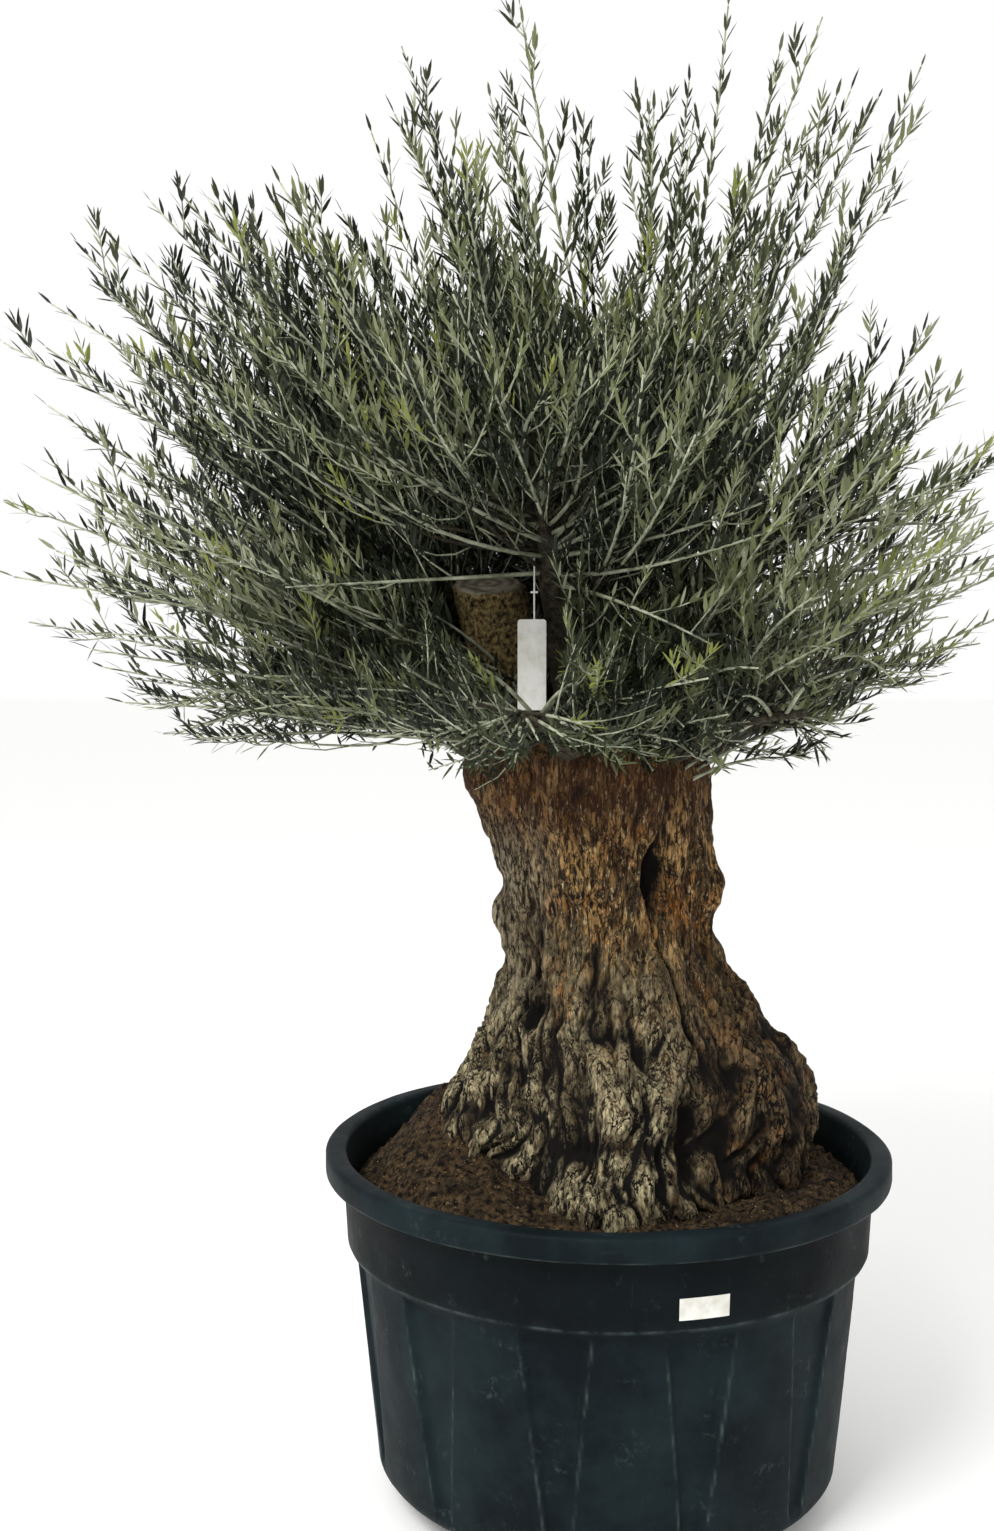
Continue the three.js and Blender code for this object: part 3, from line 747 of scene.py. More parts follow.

# %% [markdown]
# ## Bare wood
# The finish changes up the trunk. High up it is bare wood, tan to orange-brown with upright grain,
# with painted shade darkest under the crown. The left strand has silvered to grey, and the head is
# mossy. Noises that are stretched upright by a Mapping node give the grain.

# %% Bare wood
bark = start_material("old olive bark and wood")
place = add(bark, "TexCoord", {}, "Object")
along = add(bark, "Mapping", {"Vector": place, "Scale": (1, 1, 0.22)})
short = add(bark, "Mapping", {"Vector": place, "Scale": (1, 1, 0.32)})
grain = spots(bark, along, 0.0055, 0.43, 0.57)
rusty = paint(bark, "#200f06", "#b1702f", grain)
silver = paint(bark, "#241c13", "#b0a286", grain)
silver = paint(bark, silver, "#150d07", veins(bark, along, 0.012, 0.022), 0.8)
moss = paint(bark, "#0f0a05", "#a08c5b", spots(bark, place, 0.007, 0.40, 0.62))
on_left = fade(bark, place, "X", -0.075, -0.125)
below_head = fade(bark, place, "Z", 1.10, 1.0, 0.8)
crown_shade = fade(bark, place, "Z", 1.0, 1.12, 0.62)
below_fork = fade(bark, place, "Z", 1.30, 1.22)
wood = paint(bark, "#1b1007", "#c49a60", grain)
wood = paint(bark, wood, rusty, spots(bark, place, 0.080, 0.48, 0.62, most=0.8))
wood = paint(bark, wood, "#1f1309", spots(bark, short, 0.034, 0.58, 0.44, most=0.8))
wood = paint(bark, wood, "#e3cd9f", spots(bark, along, 0.004, 0.57, 0.66, most=0.8))
wood = paint(bark, wood, "#150d07", veins(bark, short, 0.018, 0.022), 0.8)
wood = paint(bark, wood, silver, on_left, below_head)
# painted shade: the top of the trunk darkens under the crown
wood = paint(bark, wood, "#3d2110", crown_shade, below_fork)
wood = paint(bark, wood, moss, fade(bark, place, "Z", 1.24, 1.30, 0.85))
print("nodes for bare wood:", len(bark.node_tree.nodes))

# %% [markdown]
# ## Rough bark
# Over the roots lies grey bark with cream on its crests, partly lichen and partly painted highlight.
# The right foot, away from the lamp, is darker, partly damp and partly painted shade, and the cracks
# are painted nearly black as shade. Bark gives way to bare wood along a ragged line, which is a noise
# added to the height.

# %% Rough bark
patch = spots(bark, place, 0.060, 0.38, 0.58, least=0.2)
# cream on the crests: partly lichen, partly painted highlight
lichen_and_highlight = (spots(bark, short, 0.006, 0.40, 0.58), patch, stored(bark, "crest", 0.22, 0.52))
# the right foot's darker finish: partly damp, partly painted shade away from the lamp
damp_and_shade = paint(bark, "#060402", "#43301a", spots(bark, short, 0.008, 0.42, 0.62))
damp_and_shade = paint(bark, damp_and_shade, "#7f5329", spots(bark, place, 0.045, 0.54, 0.64, most=0.6))
damp_and_shade = paint(bark, damp_and_shade, "#d0b384", *lichen_and_highlight, 0.34)
crust = paint(bark, "#0a0704", "#604e34", spots(bark, short, 0.007, 0.42, 0.60))
crust = paint(bark, crust, "#d0c299", *lichen_and_highlight)
# painted shade, partly damp, over the right foot
crust = paint(bark, crust, damp_and_shade, fade(bark, place, "X", 0.05, 0.14, 0.95))
# thin near-black lines drawn as cracks: painted shade
crust = paint(bark, crust, "#0b0704", veins(bark, short, 0.020, 0.022))
crust = paint(bark, crust, "#0b0704", veins(bark, short, 0.009, 0.026), 0.45)

up = add(bark, "SeparateXYZ", {0: place}, "Z")
ragged = add(bark, "TexNoise", {"Vector": place, "Scale": 1 / 0.06, "Detail": 6.0})
ragged = add(bark, "Math", {0: ragged, 1: 0.5, 2: -0.25}, operation="MULTIPLY_ADD")
level = add(bark, "Math", {0: up, 1: ragged}, operation="ADD")
limits = {"Value": level, "From Min": 1.0, "From Max": 0.68}
rough = add(bark, "MapRange", limits, interpolation_type="SMOOTHSTEP")
surface = paint(bark, wood, crust, rough)
# painted shade: cracks and dents darken with their stored depth
surface = paint(bark, surface, "#0b0704", stored(bark, "hollow", 0.16, 0.56))
gritty = {"Detail": 6.0, "Roughness": 0.75}
fine = add(bark, "TexNoise", {"Vector": along, "Scale": 1 / 0.005, **gritty})
coarse = add(bark, "TexNoise", {"Vector": short, "Scale": 1 / 0.009, **gritty})
height = add(bark, "Math", {0: fine, 1: coarse}, operation="ADD")
skin = add(bark, "Bump", {"Height": height, "Strength": 0.9, "Distance": 0.008})
finish_material(bark, Base_Color=surface, Roughness=0.9, Specular_IOR_Level=0.2, Normal=skin)
trunk.data.materials.append(bark)
print("bark nodes:", len(bark.node_tree.nodes))

# %% [markdown]
# ## Young bark
# The boughs are younger than the trunk. Their bark is smooth, grey and only finely cracked. The
# stems in the foliage and the feet of most wands wear it too.

# %% Young bark material
young = start_material("smooth grey olive bark")
place = add(young, "TexCoord", {}, "Object")
rind = paint(young, "#1a1711", "#4b4638", spots(young, place, 0.012, 0.36, 0.64))
rind = paint(young, rind, "#110e09", veins(young, place, 0.014, 0.016), 0.8)
pores = add(young, "TexNoise", {"Vector": place, "Scale": 1 / 0.005, "Detail": 4.0})
skin = add(young, "Bump", {"Height": pores, "Strength": 0.6, "Distance": 0.003})
finish_material(young, Base_Color=rind, Roughness=0.85, Specular_IOR_Level=0.2, Normal=skin)
boughs.data.materials.append(young)
print("young bark ready")

# %% [markdown]
# ## The sawn face
# The limb beside the fork was sawn off at a slant some years ago. Its end has weathered to dull grey
# with rings round the pith. The faces of the cut are found by their place and normal, and get a
# material of their own with a ring pattern centred on the cut by a Mapping node.

# %% Sawn face
CUT_CENTRE = Vector((-0.186, -0.118, 1.415))
CUT_TILT = math.radians(20)
CUT_REACH = 0.062
CUT_DEPTH = 0.012
CUT_FACING = 0.75  # least cosine between a face and the cut
RING_WIDTH = 0.009  # half a wave of the pattern, which is 0.16 m at a scale of 1

end_grain = start_material("weathered olive end grain")
place = add(end_grain, "TexCoord", {}, "Object")
centred = add(end_grain, "Mapping", {"Vector": place, "Location": CUT_CENTRE}, vector_type="TEXTURE")
inputs = {"Vector": centred, "Scale": 0.16 / RING_WIDTH, "Distortion": 3.0, "Detail": 3.0}
growth = add(end_grain, "TexWave", inputs, "Fac", wave_type="RINGS", rings_direction="Z")
ends = paint(end_grain, "#4b473a", "#797262", growth)
ends = paint(end_grain, ends, "#37352b", spots(end_grain, place, 0.02, 0.50, 0.70))
finish_material(end_grain, Base_Color=ends, Roughness=0.9, Specular_IOR_Level=0.2)
trunk.data.materials.append(end_grain)

cut_normal = Vector((0, -math.sin(CUT_TILT), math.cos(CUT_TILT)))
cut_faces = 0
for face in trunk.data.polygons:
    away = face.center - CUT_CENTRE
    in_plane = abs(away.dot(cut_normal)) < CUT_DEPTH and away.length < CUT_REACH
    if in_plane and face.normal.dot(cut_normal) > CUT_FACING:
        face.material_index = 1
        cut_faces += 1
print("faces of the cut:", cut_faces)
settle(trunk, "bark", "trunk", "sawn_limb")
settle(boughs, "bark", *limb_names)

# %% [markdown]
# ## The space of the crown
# The space of the crown is given by its outline seen from the front and by its depth. This is the
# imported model's own rule, written again with arrays: an eased outline, and the reach from the knuckle
# in any direction. Two finer outlines tell where the dense part ends and how far single wands run on
# beyond it, with sky between them.

# %% Crown space
HEAD = np.array((-0.020, 0.0, 1.147))
CROWN_CENTRE = np.array((-0.160, 0.0, 1.587))
FULLNESS = 2.4
FARTHEST = 2.3
HALVINGS = 14
# Outlines in millimetres from the crown's centre, from the right over the top, and half depths.
CROWN = ((755, 690, 815, 705, 560, 735, 785, 755, 640, 600, 640, 785), 770)
LOOSE = (
    (750, 600, 580, 830, 650, 580, 530, 660, 450, 570, 730, 790,
     550, 740, 800, 700, 640, 620, 600, 620, 640, 700, 720, 790),
    760,
)
DENSE = (
    (660, 640, 285, 300, 185, 235, 385, 370, 250, 575, 575, 550,
     500, 785, 400, 520, 530, 520, 500, 520, 580, 640, 690, 780),
    690,
)


def outline_at(outline, angle):
    outline = np.array(outline) / 1000
    turn = (angle / (2 * np.pi)) % 1 * len(outline)
    here = np.floor(turn).astype(int) % len(outline)
    there = (here + 1) % len(outline)
    return between((outline[here], outline[there]), smooth(turn - np.floor(turn)))


def share_of(space, points):
    """0 in the middle of a space and 1 at its edge."""
    outline, half_depth = space
    x, y, z = (points - CROWN_CENTRE).T
    breadth = np.hypot(x, z) / outline_at(outline, np.arctan2(z, x))
    return (breadth**FULLNESS + (np.abs(y) * 1000 / half_depth) ** FULLNESS) ** (1 / FULLNESS)


def reach_of(space, directions):
    """How far a space goes from the head in each direction, found by halving."""
    inside = np.zeros(len(directions))
    outside = np.full(len(directions), FARTHEST)
    for _ in range(HALVINGS):
        middle = (inside + outside) / 2
        within = share_of(space, HEAD + directions * middle[:, None]) < 1
        inside = np.where(within, middle, inside)
        outside = np.where(within, outside, middle)
    return inside


print("the crown's centre is", round(float(CROWN_CENTRE[2]), 2), "m high")

# %% [markdown]
# ## Limbs
# All wands spring from limbs round one knuckle, one for each mass. The limbs stand in three rings by
# azimuth and elevation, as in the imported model. A stem goes on from each limb's tip into its mass.

# %% Limbs
LIMB_RINGS = (  # name, azimuths, elevation, length, tip radius and rise of the stem
    ("lower", (182, 254, 309, 2, 58, 120), 14, 0.290, 0.019, -0.020),
    ("upper", (181, 253, 325, 37, 109), 48, 0.390, 0.022, 0.028),
    ("top", (60,), 86, 0.420, 0.020, 0.028),
)
STEM_SHARE = 0.34  # of the way from the limb's tip to the edge
UP = np.array((0.0, 0.0, 1.0))


def unit(vectors):
    return vectors / np.linalg.norm(vectors, axis=-1, keepdims=True)


def from_head(points):
    return np.linalg.norm(points - HEAD, axis=1)


def stem_point(mass, share):
    """A point on a mass's stem, or on its limb where the share is below 0."""
    share = share[:, None]
    stem = limb_tips[mass] + limb_ends[mass] * np.maximum(share, 0) * stem_length[mass][:, None]
    return stem + (HEAD - limb_tips[mass]) * np.maximum(-share, 0)


mass_names = []
limbs = []
tip_radii = []
for ring_name, azimuths, elevation, length, tip_radius, rise in LIMB_RINGS:
    climb = math.radians(elevation)
    level = math.cos(climb)
    for number, azimuth in enumerate(azimuths, 1):
        turn = math.radians(azimuth)
        aim = np.array((math.cos(turn) * level, math.sin(turn) * level, math.sin(climb)))
        mass_names.append(f"{ring_name}_{number}")
        limbs.append((aim, HEAD + aim * length, unit(aim * length / 2 + UP * rise)))
        tip_radii.append(tip_radius)
limb_aims, limb_tips, limb_ends = np.array(limbs).swapaxes(0, 1)
stem_length = STEM_SHARE * (reach_of(CROWN, limb_aims) - from_head(limb_tips))
print("masses:", ", ".join(mass_names))

# %% [markdown]
# ## Where nothing grows
# The picture shows the sawn limb, the tag and the top of the trunk, so the ways in front of them are
# kept free like windows. It also shows the crown's lower edge, so each point is followed along its
# line of sight to see whether it lies above that edge. A wave makes the edge ragged.

# %% Free space
LOWEST = 1.095
BOX_MARGIN = 0.004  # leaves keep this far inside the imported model's box
TRUNK_HEAD = (-0.03, 0.185, 1.25)  # x of its axis, radius and top
WINDOWS = (  # x, z, half width, half height and the far end of each way
    (-0.182, 1.374, 0.058, 0.056, -0.060),
    (-0.122, 1.325, 0.030, 0.100, -0.200),
    (-0.090, 1.085, 0.095, 0.085, -0.120),
)
LOWER_EDGE = (  # x and z in millimetres, where lines of sight to the crown's lower edge pass y = 0
    (-950, 1310), (-865, 1300), (-788, 1235), (-720, 1150), (-592, 1132), (-515, 1146), (-463, 1170),
    (-378, 1166), (-344, 1190), (-302, 1195), (-285, 1120), (-245, 1105), (338, 1105), (363, 1146),
    (422, 1195), (515, 1235), (589, 1270),
)
EDGE_RAGGED = 0.018
EDGE_WAVES = (150, 40)  # radians of the wave to a metre, to the right and in depth


def in_window(points, grown=1.0):
    """True inside a way that is kept free, or near it where the ways are grown."""
    x, y, z = points.T
    inside = np.zeros(len(points), bool)
    for middle_x, middle_z, half_width, half_height, far_end in WINDOWS:
        offset = np.hypot((x - middle_x) / half_width, (z - middle_z) / half_height)
        inside |= (offset < grown) & (y < far_end)
    return inside


def above_edge(points):
    """How far points lie above the lower edge, measured where their lines of sight pass y = 0."""
    lens = np.array(CAMERA_PLACE)
    nearness = -lens[1] / (points[:, 1] - lens[1])
    seen = lens + (points - lens) * nearness[:, None]
    edge_x, edge_z = np.array(LOWER_EDGE).T / 1000
    ragged = EDGE_RAGGED * np.sin(seen[:, 0] * EDGE_WAVES[0] + points[:, 1] * EDGE_WAVES[1])
    return seen[:, 2] - np.interp(seen[:, 0], edge_x, edge_z) + ragged


def is_free(points):
    """True where a leaf or twig may be: not too low, not in a window or the trunk's head."""
    x, y, z = points.T
    in_trunk = (np.hypot(x - TRUNK_HEAD[0], y) < TRUNK_HEAD[1]) & (z < TRUNK_HEAD[2])
    lowest, highest = np.array(cad_box[0]) + BOX_MARGIN, np.array(cad_box[1]) - BOX_MARGIN
    in_box = np.all((points > lowest) & (points < highest), axis=1)
    return (z > LOWEST) & (above_edge(points) > 0) & in_box & ~in_window(points) & ~in_trunk


print("windows:", len(WINDOWS))

# %% [markdown]
# ## Curves by the thousand
# Wands, side shoots and stems are curves of three points: foot, bend and tip. Curve objects could
# hold them. Here the same few sums serve thousands of them, so they are done on whole arrays at once.

# %% Curve helpers
SEED = 7
GOLDEN = 3 - math.sqrt(5)  # the golden angle in half turns
TILTED_UP = UP + 0.02  # not quite upright, so that upright headings have a side too


def chance(index, purpose):
    """A fixed random number from 0 to 1 for each index and purpose."""
    wave = np.sin(np.asarray(index) * 12.9898 + (purpose + SEED) * 78.233) * 43758.5453
    return wave - np.floor(wave)


def curve_points(curves, share):
    share = share[:, None]
    foot, bend, end = curves[:, 0], curves[:, 1], curves[:, 2]
    return (1 - share) ** 2 * foot + 2 * share * (1 - share) * bend + share**2 * end


def curve_headings(curves, share):
    share = share[:, None]
    foot, bend, end = curves[:, 0], curves[:, 1], curves[:, 2]
    return unit((1 - share) * (bend - foot) + share * (end - bend))


def curve_lengths(curves):
    chord = np.linalg.norm(curves[:, 2] - curves[:, 0], axis=1)
    sides = np.linalg.norm(np.diff(curves, axis=1), axis=2).sum(axis=1)
    return (chord + sides) / 2


def sides_of(headings, turns):
    """A direction square to each heading, turned round it."""
    level = unit(np.cross(headings, TILTED_UP))
    above = np.cross(level, headings)
    return level * np.cos(turns)[:, None] + above * np.sin(turns)[:, None]


def spread_along(curves, first, last, spacing):
    """For points spaced along curves: the curve, the place in its row and the share of each."""
    counts = np.maximum(1, np.round(curve_lengths(curves) * (last - first) / spacing)).astype(int)
    owner = np.repeat(np.arange(len(curves)), counts)
    place = np.arange(len(owner)) - np.repeat(np.cumsum(counts) - counts, counts)
    return owner, place, between((first[owner], last), (place + 0.5) / counts[owner])


print("curve helpers ready")

# %% [markdown]
# ## Leaders
# Long single wands, the leaders, make the outline of the show side, so their tips are listed as they
# are seen. Each tip is then strewn along its line of sight, which keeps the outline and gives the crown
# its depth.

# %% Leaders
LEADER_TIPS = (  # x and z in millimetres, where their lines of sight pass y = 0
    (-700, 1180), (-895, 1340), (-840, 1425), (-930, 1547), (-860, 1690), (-925, 1785), (-850, 1842),
    (-810, 1935), (-690, 1900), (-470, 2025), (-362, 2098), (-316, 2225), (-286, 2180), (-182, 2150),
    (-137, 2282), (-30, 2100), (59, 2144), (118, 2172), (176, 2284), (254, 2215), (318, 2268),
    (404, 2148), (468, 2195), (442, 2040), (518, 1720), (580, 1636), (584, 1530), (575, 1320),
    (510, 1212), (346, 1125), (200, 1985), (215, 1955), (245, 2005), (222, 2040), (235, 1970),
    (260, 2060), (300, 2100), (340, 2150), (-730, 1250), (-690, 1225),
    (-640, 1200), (-780, 1290), (384, 2120), (420, 2096), (545, 1400), (525, 1368), (560, 1450),
    (535, 1592), (508, 1560), (-790, 1420), (-765, 1398), (-690, 1168), (-640, 1158), (-600, 1152),
    (-560, 1162), (-665, 1190), (-520, 1176),
)
LEADER_DEPTH = 0.6  # metres over which they are strewn
LEADER_FRONT = 0.4  # the share of that depth in front
LEADER_ROOM = 0.004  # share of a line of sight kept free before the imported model's box

sight = np.array([(x / 1000, 0.0, z / 1000) for x, z in LEADER_TIPS]) - CAMERA_PLACE
corners = np.where(sight > 0, cad_box[1], cad_box[0]) - np.array(CAMERA_PLACE)
room = np.min((corners / sight)[:, (0, 2)], axis=1) - LEADER_ROOM
strewn = chance(np.arange(len(sight)), 3) - LEADER_FRONT
deeper = 1 - LEADER_DEPTH * strewn / CAMERA_PLACE[1]
leader_tips = CAMERA_PLACE + sight * np.minimum(deeper, room)[:, None]
print(len(leader_tips), "leaders")

# %% [markdown]
# ## Aims of the wands
# A wand is a long straight young branch. Wands aim evenly over the crown by the golden angle, with
# fewer towards the viewer and to the right, where the crown is thin. Most end where the dense part
# of the crown ends, and every few a leader runs on to the edge.

# %% Wand aims
WANDS = 700
LOWEST_AIM = -0.10  # sine of the lowest wands' climb
LEADER_EVERY = 9
DENSE_RANGE = (0.84, 1.08)  # shares of the dense part's reach
CROWN_LIMIT = 0.97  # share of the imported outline's reach
LEADER_RANGE = (0.88, 0.98)  # shares of the loose part's reach
FRONT_AIM = unit(np.array((-0.10, -1.0, 0.45)))
FRONT_GAP = math.cos(math.radians(20))  # wands that point nearer to the viewer are thinned
FRONT_SHARE = 0.35
RIGHT_AIM = 0.35  # wands that point further to the right are thinned
RIGHT_SHARE = (0.40, 0.24)  # in front and behind

index = np.arange(WANDS)
climb = LOWEST_AIM + (1 - LOWEST_AIM) * (index + 0.5) / WANDS
azimuth = index * np.pi * GOLDEN
level = np.sqrt(1 - climb**2)
body_aims = np.stack((level * np.cos(azimuth), level * np.sin(azimuth), climb), axis=1)
to_front = (body_aims @ FRONT_AIM > FRONT_GAP) & (chance(index, 2) > FRONT_SHARE)
right_share = np.where(body_aims[:, 1] > 0, RIGHT_SHARE[1], RIGHT_SHARE[0])
to_right = (body_aims[:, 0] > RIGHT_AIM) & (chance(index, 18) > right_share)
stays = ~(to_front | to_right)
dense_reach = reach_of(DENSE, body_aims) * between(DENSE_RANGE, chance(index, 1))
dense_reach = np.minimum(dense_reach, reach_of(CROWN, body_aims) * CROWN_LIMIT)
loose_reach = reach_of(LOOSE, body_aims) * between(LEADER_RANGE, chance(index, 4))
body_reach = np.where(index % LEADER_EVERY == 0, loose_reach, dense_reach)
aims = np.concatenate((body_aims[stays], unit(leader_tips - HEAD)))
reach = np.concatenate((body_reach[stays], from_head(leader_tips)))
print(len(aims), "aims")

# %% [markdown]
# ## Wands
# Each wand grows from the limb that points most its way, lower down the more it turns away from it.
# It bows upwards a little. Its end is lifted over the crown's lower edge, and a wand that would cross
# a window is dropped.

# %% Wands
FOOT_RANGE = (-0.75, 0.97)  # shares of the stem, below 0 on the limb itself
FOOT_FALL = (1.6, 0.8)  # how far feet stand lower for each radian off the limb's aim, and by chance
BEND = 1.15  # distance of the bend from the head, for each metre of the foot's
ARCH = 0.07  # how far the bend of a level wand stands above its chord
SWAY = 0.14  # how far bends are strewn
SHORTEST = 0.06
EDGE_MARGIN = (0.035, 0.085)  # wands end this far above the lower edge
NEAR_WINDOW = 1.1  # how much the windows are grown for wands and for the middles of shoots

index = np.arange(len(aims))
mass = np.argmax(aims @ limb_aims.T, axis=1)
wide = np.arccos(np.clip(np.sum(aims * limb_aims[mass], axis=1), -1, 1))
foot_share = FOOT_RANGE[1] - FOOT_FALL[0] * wide - FOOT_FALL[1] * chance(index, 5)
foot = stem_point(mass, np.clip(foot_share, *FOOT_RANGE))
end = HEAD + aims * reach[:, None]
margin = between(EDGE_MARGIN, chance(index, 26))
end = end + UP * np.maximum(0, margin - above_edge(end))[:, None]
bend = HEAD + aims * (BEND * from_head(foot))[:, None]
bend = bend + UP * (ARCH * (1 - np.abs(aims[:, 2:])))
sway = np.stack([chance(index, purpose) for purpose in (23, 24, 25)], axis=1)
bend = bend + SWAY * (sway - 0.5)
curves = np.stack((foot, bend, end), axis=1)
keep = from_head(end) > from_head(foot) + SHORTEST
for share in np.linspace(0, 1, 9):
    keep &= ~in_window(curve_points(curves, np.full(len(curves), share)), NEAR_WINDOW)
wand_groups = [(curves[keep], mass[keep], np.zeros(keep.sum(), bool))]  # curves, masses, is pale
print(len(wand_groups[0][0]), "wands and leaders")

# %% [markdown]
# ## Fans in front
# Two fans of wands come towards the viewer, one over the sawn limb and one under the tag. The eye
# rests on them, so they are listed one by one. The wands of the upper fan are pale from the foot.

# %% Fans
FANS = {  # bends and tips in millimetres, foot as a share of the stem
    "upper_2": (
        (-27, -420, 1458, 105, -480, 1621, 0.10), (-261, -360, 1410, -445, -420, 1398, -0.04),
        (-226, -420, 1497, -345, -520, 1591, 0.15), (-284, -420, 1452, -366, -500, 1557, 0.05),
        (-194, -400, 1588, -334, -500, 1709, 0.45), (-110, -400, 1588, -122, -450, 1734, 0.40),
        (-26, -400, 1537, -94, -500, 1640, 0.25), (1, -400, 1408, 150, -520, 1458, -0.05),
        (38, -420, 1452, 190, -500, 1512, 0.05), (-26, -420, 1394, 100, -450, 1325, -0.10),
        (-258, -420, 1541, -452, -500, 1600, 0.25), (20, -420, 1520, 170, -520, 1650, 0.20),
        (-60, -400, 1600, -20, -480, 1760, 0.45),
    ),
    "lower_2": (
        (-200, -400, 1222, -330, -450, 1205, 0.20), (-60, -400, 1225, 60, -440, 1200, 0.10),
        (-140, -430, 1235, -160, -540, 1205, 0.60), (-90, -420, 1230, -40, -520, 1205, 0.40),
        (-190, -420, 1230, -250, -520, 1210, 0.50), (-20, -360, 1235, 120, -400, 1215, -0.10),
        (-110, -360, 1215, -95, -480, 1190, -0.10), (-160, -380, 1215, -215, -470, 1195, 0.05),
        (-40, -330, 1195, 40, -400, 1180, -0.25), (-70, -350, 1215, -10, -450, 1195, 0.00),
        (-150, -470, 1238, -215, -530, 1215, 0.98), (-110, -470, 1240, -55, -530, 1222, 0.95),
        (-140, -480, 1225, -150, -540, 1180, 0.98), (-120, -470, 1232, -82, -540, 1205, 0.90),
        (-165, -470, 1232, -225, -540, 1200, 0.92), (-135, -490, 1236, -122, -560, 1208, 0.98),
    ),
}
PALE_FAN = "upper_2"

for name, rows in FANS.items():
    rows = np.array(rows)
    mass = np.full(len(rows), mass_names.index(name))
    foot = stem_point(mass, rows[:, 6])
    curves = np.stack((foot, rows[:, :3] / 1000, rows[:, 3:6] / 1000), axis=1)
    wand_groups.append((curves, mass, np.full(len(rows), name == PALE_FAN)))
    print("fan of", len(rows), "wands on", name)

# %% [markdown]
# ## Sprouts
# Short pale sprouts hide the knuckle all round and the limbs. They leave out the windows, and those
# that would end below the lower edge are dropped.

# %% Sprouts
SPROUTS = (120, 170)  # round the knuckle and along the limbs
SPROUT_FOOT = (-0.030, 0.165, 1.10, 0.20)  # x of the axis, distance from it, lowest height, spread
SPROUT_CLIMB = (0.1, 0.6)  # rise for each metre outwards
SPROUT_PROBE = 0.1  # how far along a sprout the point lies that tells its mass
LIMB_FEET = (-0.6, 1.0)  # shares of the stem, below 0 on the limb itself
SPROUT_LENGTH = (0.12, 0.28)
SPROUT_ARCH = 0.02
SPROUT_MARGIN = 0.050  # sprouts end at least this far above the lower edge

index = np.arange(sum(SPROUTS))
azimuth = index * np.pi * GOLDEN
climb = between(SPROUT_CLIMB, chance(index, 19))
outward = np.stack((np.cos(azimuth), np.sin(azimuth), climb), axis=1)
foot = outward * (1, 1, 0) * SPROUT_FOOT[1] + (SPROUT_FOOT[0], 0, SPROUT_FOOT[2])
foot[:, 2] += SPROUT_FOOT[3] * chance(index, 20)
mass = np.argmax(unit(foot + outward * SPROUT_PROBE - HEAD) @ limb_aims.T, axis=1)
on_limb = index >= SPROUTS[0]
mass = np.where(on_limb, index % len(mass_names), mass)
limb_foot = stem_point(mass, between(LIMB_FEET, chance(index, 22)))
foot = np.where(on_limb[:, None], limb_foot, foot)
end = foot + unit(outward) * between(SPROUT_LENGTH, chance(index, 21))[:, None]
curves = np.stack((foot, (foot + end) / 2 + UP * SPROUT_ARCH, end), axis=1)
keep = above_edge(end) >= SPROUT_MARGIN
for share in np.linspace(0.2, 1, 6):
    keep &= ~in_window(between((foot, end), share))
wand_groups.append((curves[keep], mass[keep], np.ones(keep.sum(), bool)))
wands, wand_mass, is_pale = (np.concatenate(rows) for rows in zip(*wand_groups))
print(len(wands), "wands with fans and sprouts")

# %% [markdown]
# ## Side shoots
# Side shoots leave a wand all round it, at a narrow angle, and turn up to the light. Some are missing
# beyond the dense part and on the right, and none end in a window or below the lower edge.

# %% Side shoots
SHOOT_SPACING = 0.041
SHOOT_RANGE = (0.14, 0.97)  # shares of the wand
SHOOT_STREW = 0.03  # share of the wand over which each is strewn
SHOOT_LENGTH = (0.165, 0.055)  # near the foot and near the tip of a wand
SHOOT_ANGLE = math.radians(46)
SHOOT_TURN = 2.4  # radians round the wand from one to the next
SHOOT_LIFT = 0.36
SHOOT_FOLLOW = 0.25  # how far the ends turn along the wand
VARIED = (0.6, 1.4)  # range of angles and lengths
ANY_TURN = 6.3  # radians
THINNING = 0.45  # share of side shoots that are missing beyond the dense part
THIN_EDGE = (0.95, 0.3)  # share of the dense part where that starts, and how gently
RIGHT_THINNING = (0.58, 0.25)  # share that is missing on the right, and how far to the right
CLEAR_WINDOW = 1.2  # how much the windows are grown for the ends of shoots

first = np.full(len(wands), SHOOT_RANGE[0])
owner, place, share = spread_along(wands, first, SHOOT_RANGE[1], SHOOT_SPACING)
number = np.arange(len(owner))
share = np.clip(share + SHOOT_STREW * (chance(number, 6) - 0.5), 0, 1)
heading = curve_headings(wands[owner], share)
side = sides_of(heading, SHOOT_TURN * place + ANY_TURN * chance(owner, 7))
angle = SHOOT_ANGLE * between(VARIED, chance(number, 8))[:, None]
aim = unit(heading * np.cos(angle) + side * np.sin(angle) + UP * SHOOT_LIFT)
length = (between(SHOOT_LENGTH, share) * between(VARIED, chance(number, 9)))[:, None]
foot = curve_points(wands[owner], share)
end = foot + unit(aim + SHOOT_FOLLOW * heading + UP * SHOOT_LIFT) * length
shoots = np.stack((foot, foot + aim * length * 0.5, end), axis=1)
loose = THINNING * smooth((share_of(DENSE, end) - THIN_EDGE[0]) / THIN_EDGE[1])
loose = np.maximum(loose, RIGHT_THINNING[0] * smooth(end[:, 0] / RIGHT_THINNING[1]))
keep = is_free(end) & is_free(foot) & (chance(number, 10) > loose)
keep &= ~in_window(end, CLEAR_WINDOW) & ~in_window((foot + end) / 2, NEAR_WINDOW)
shoots, shoot_mass = shoots[keep], wand_mass[owner[keep]]
print(len(shoots), "side shoots")

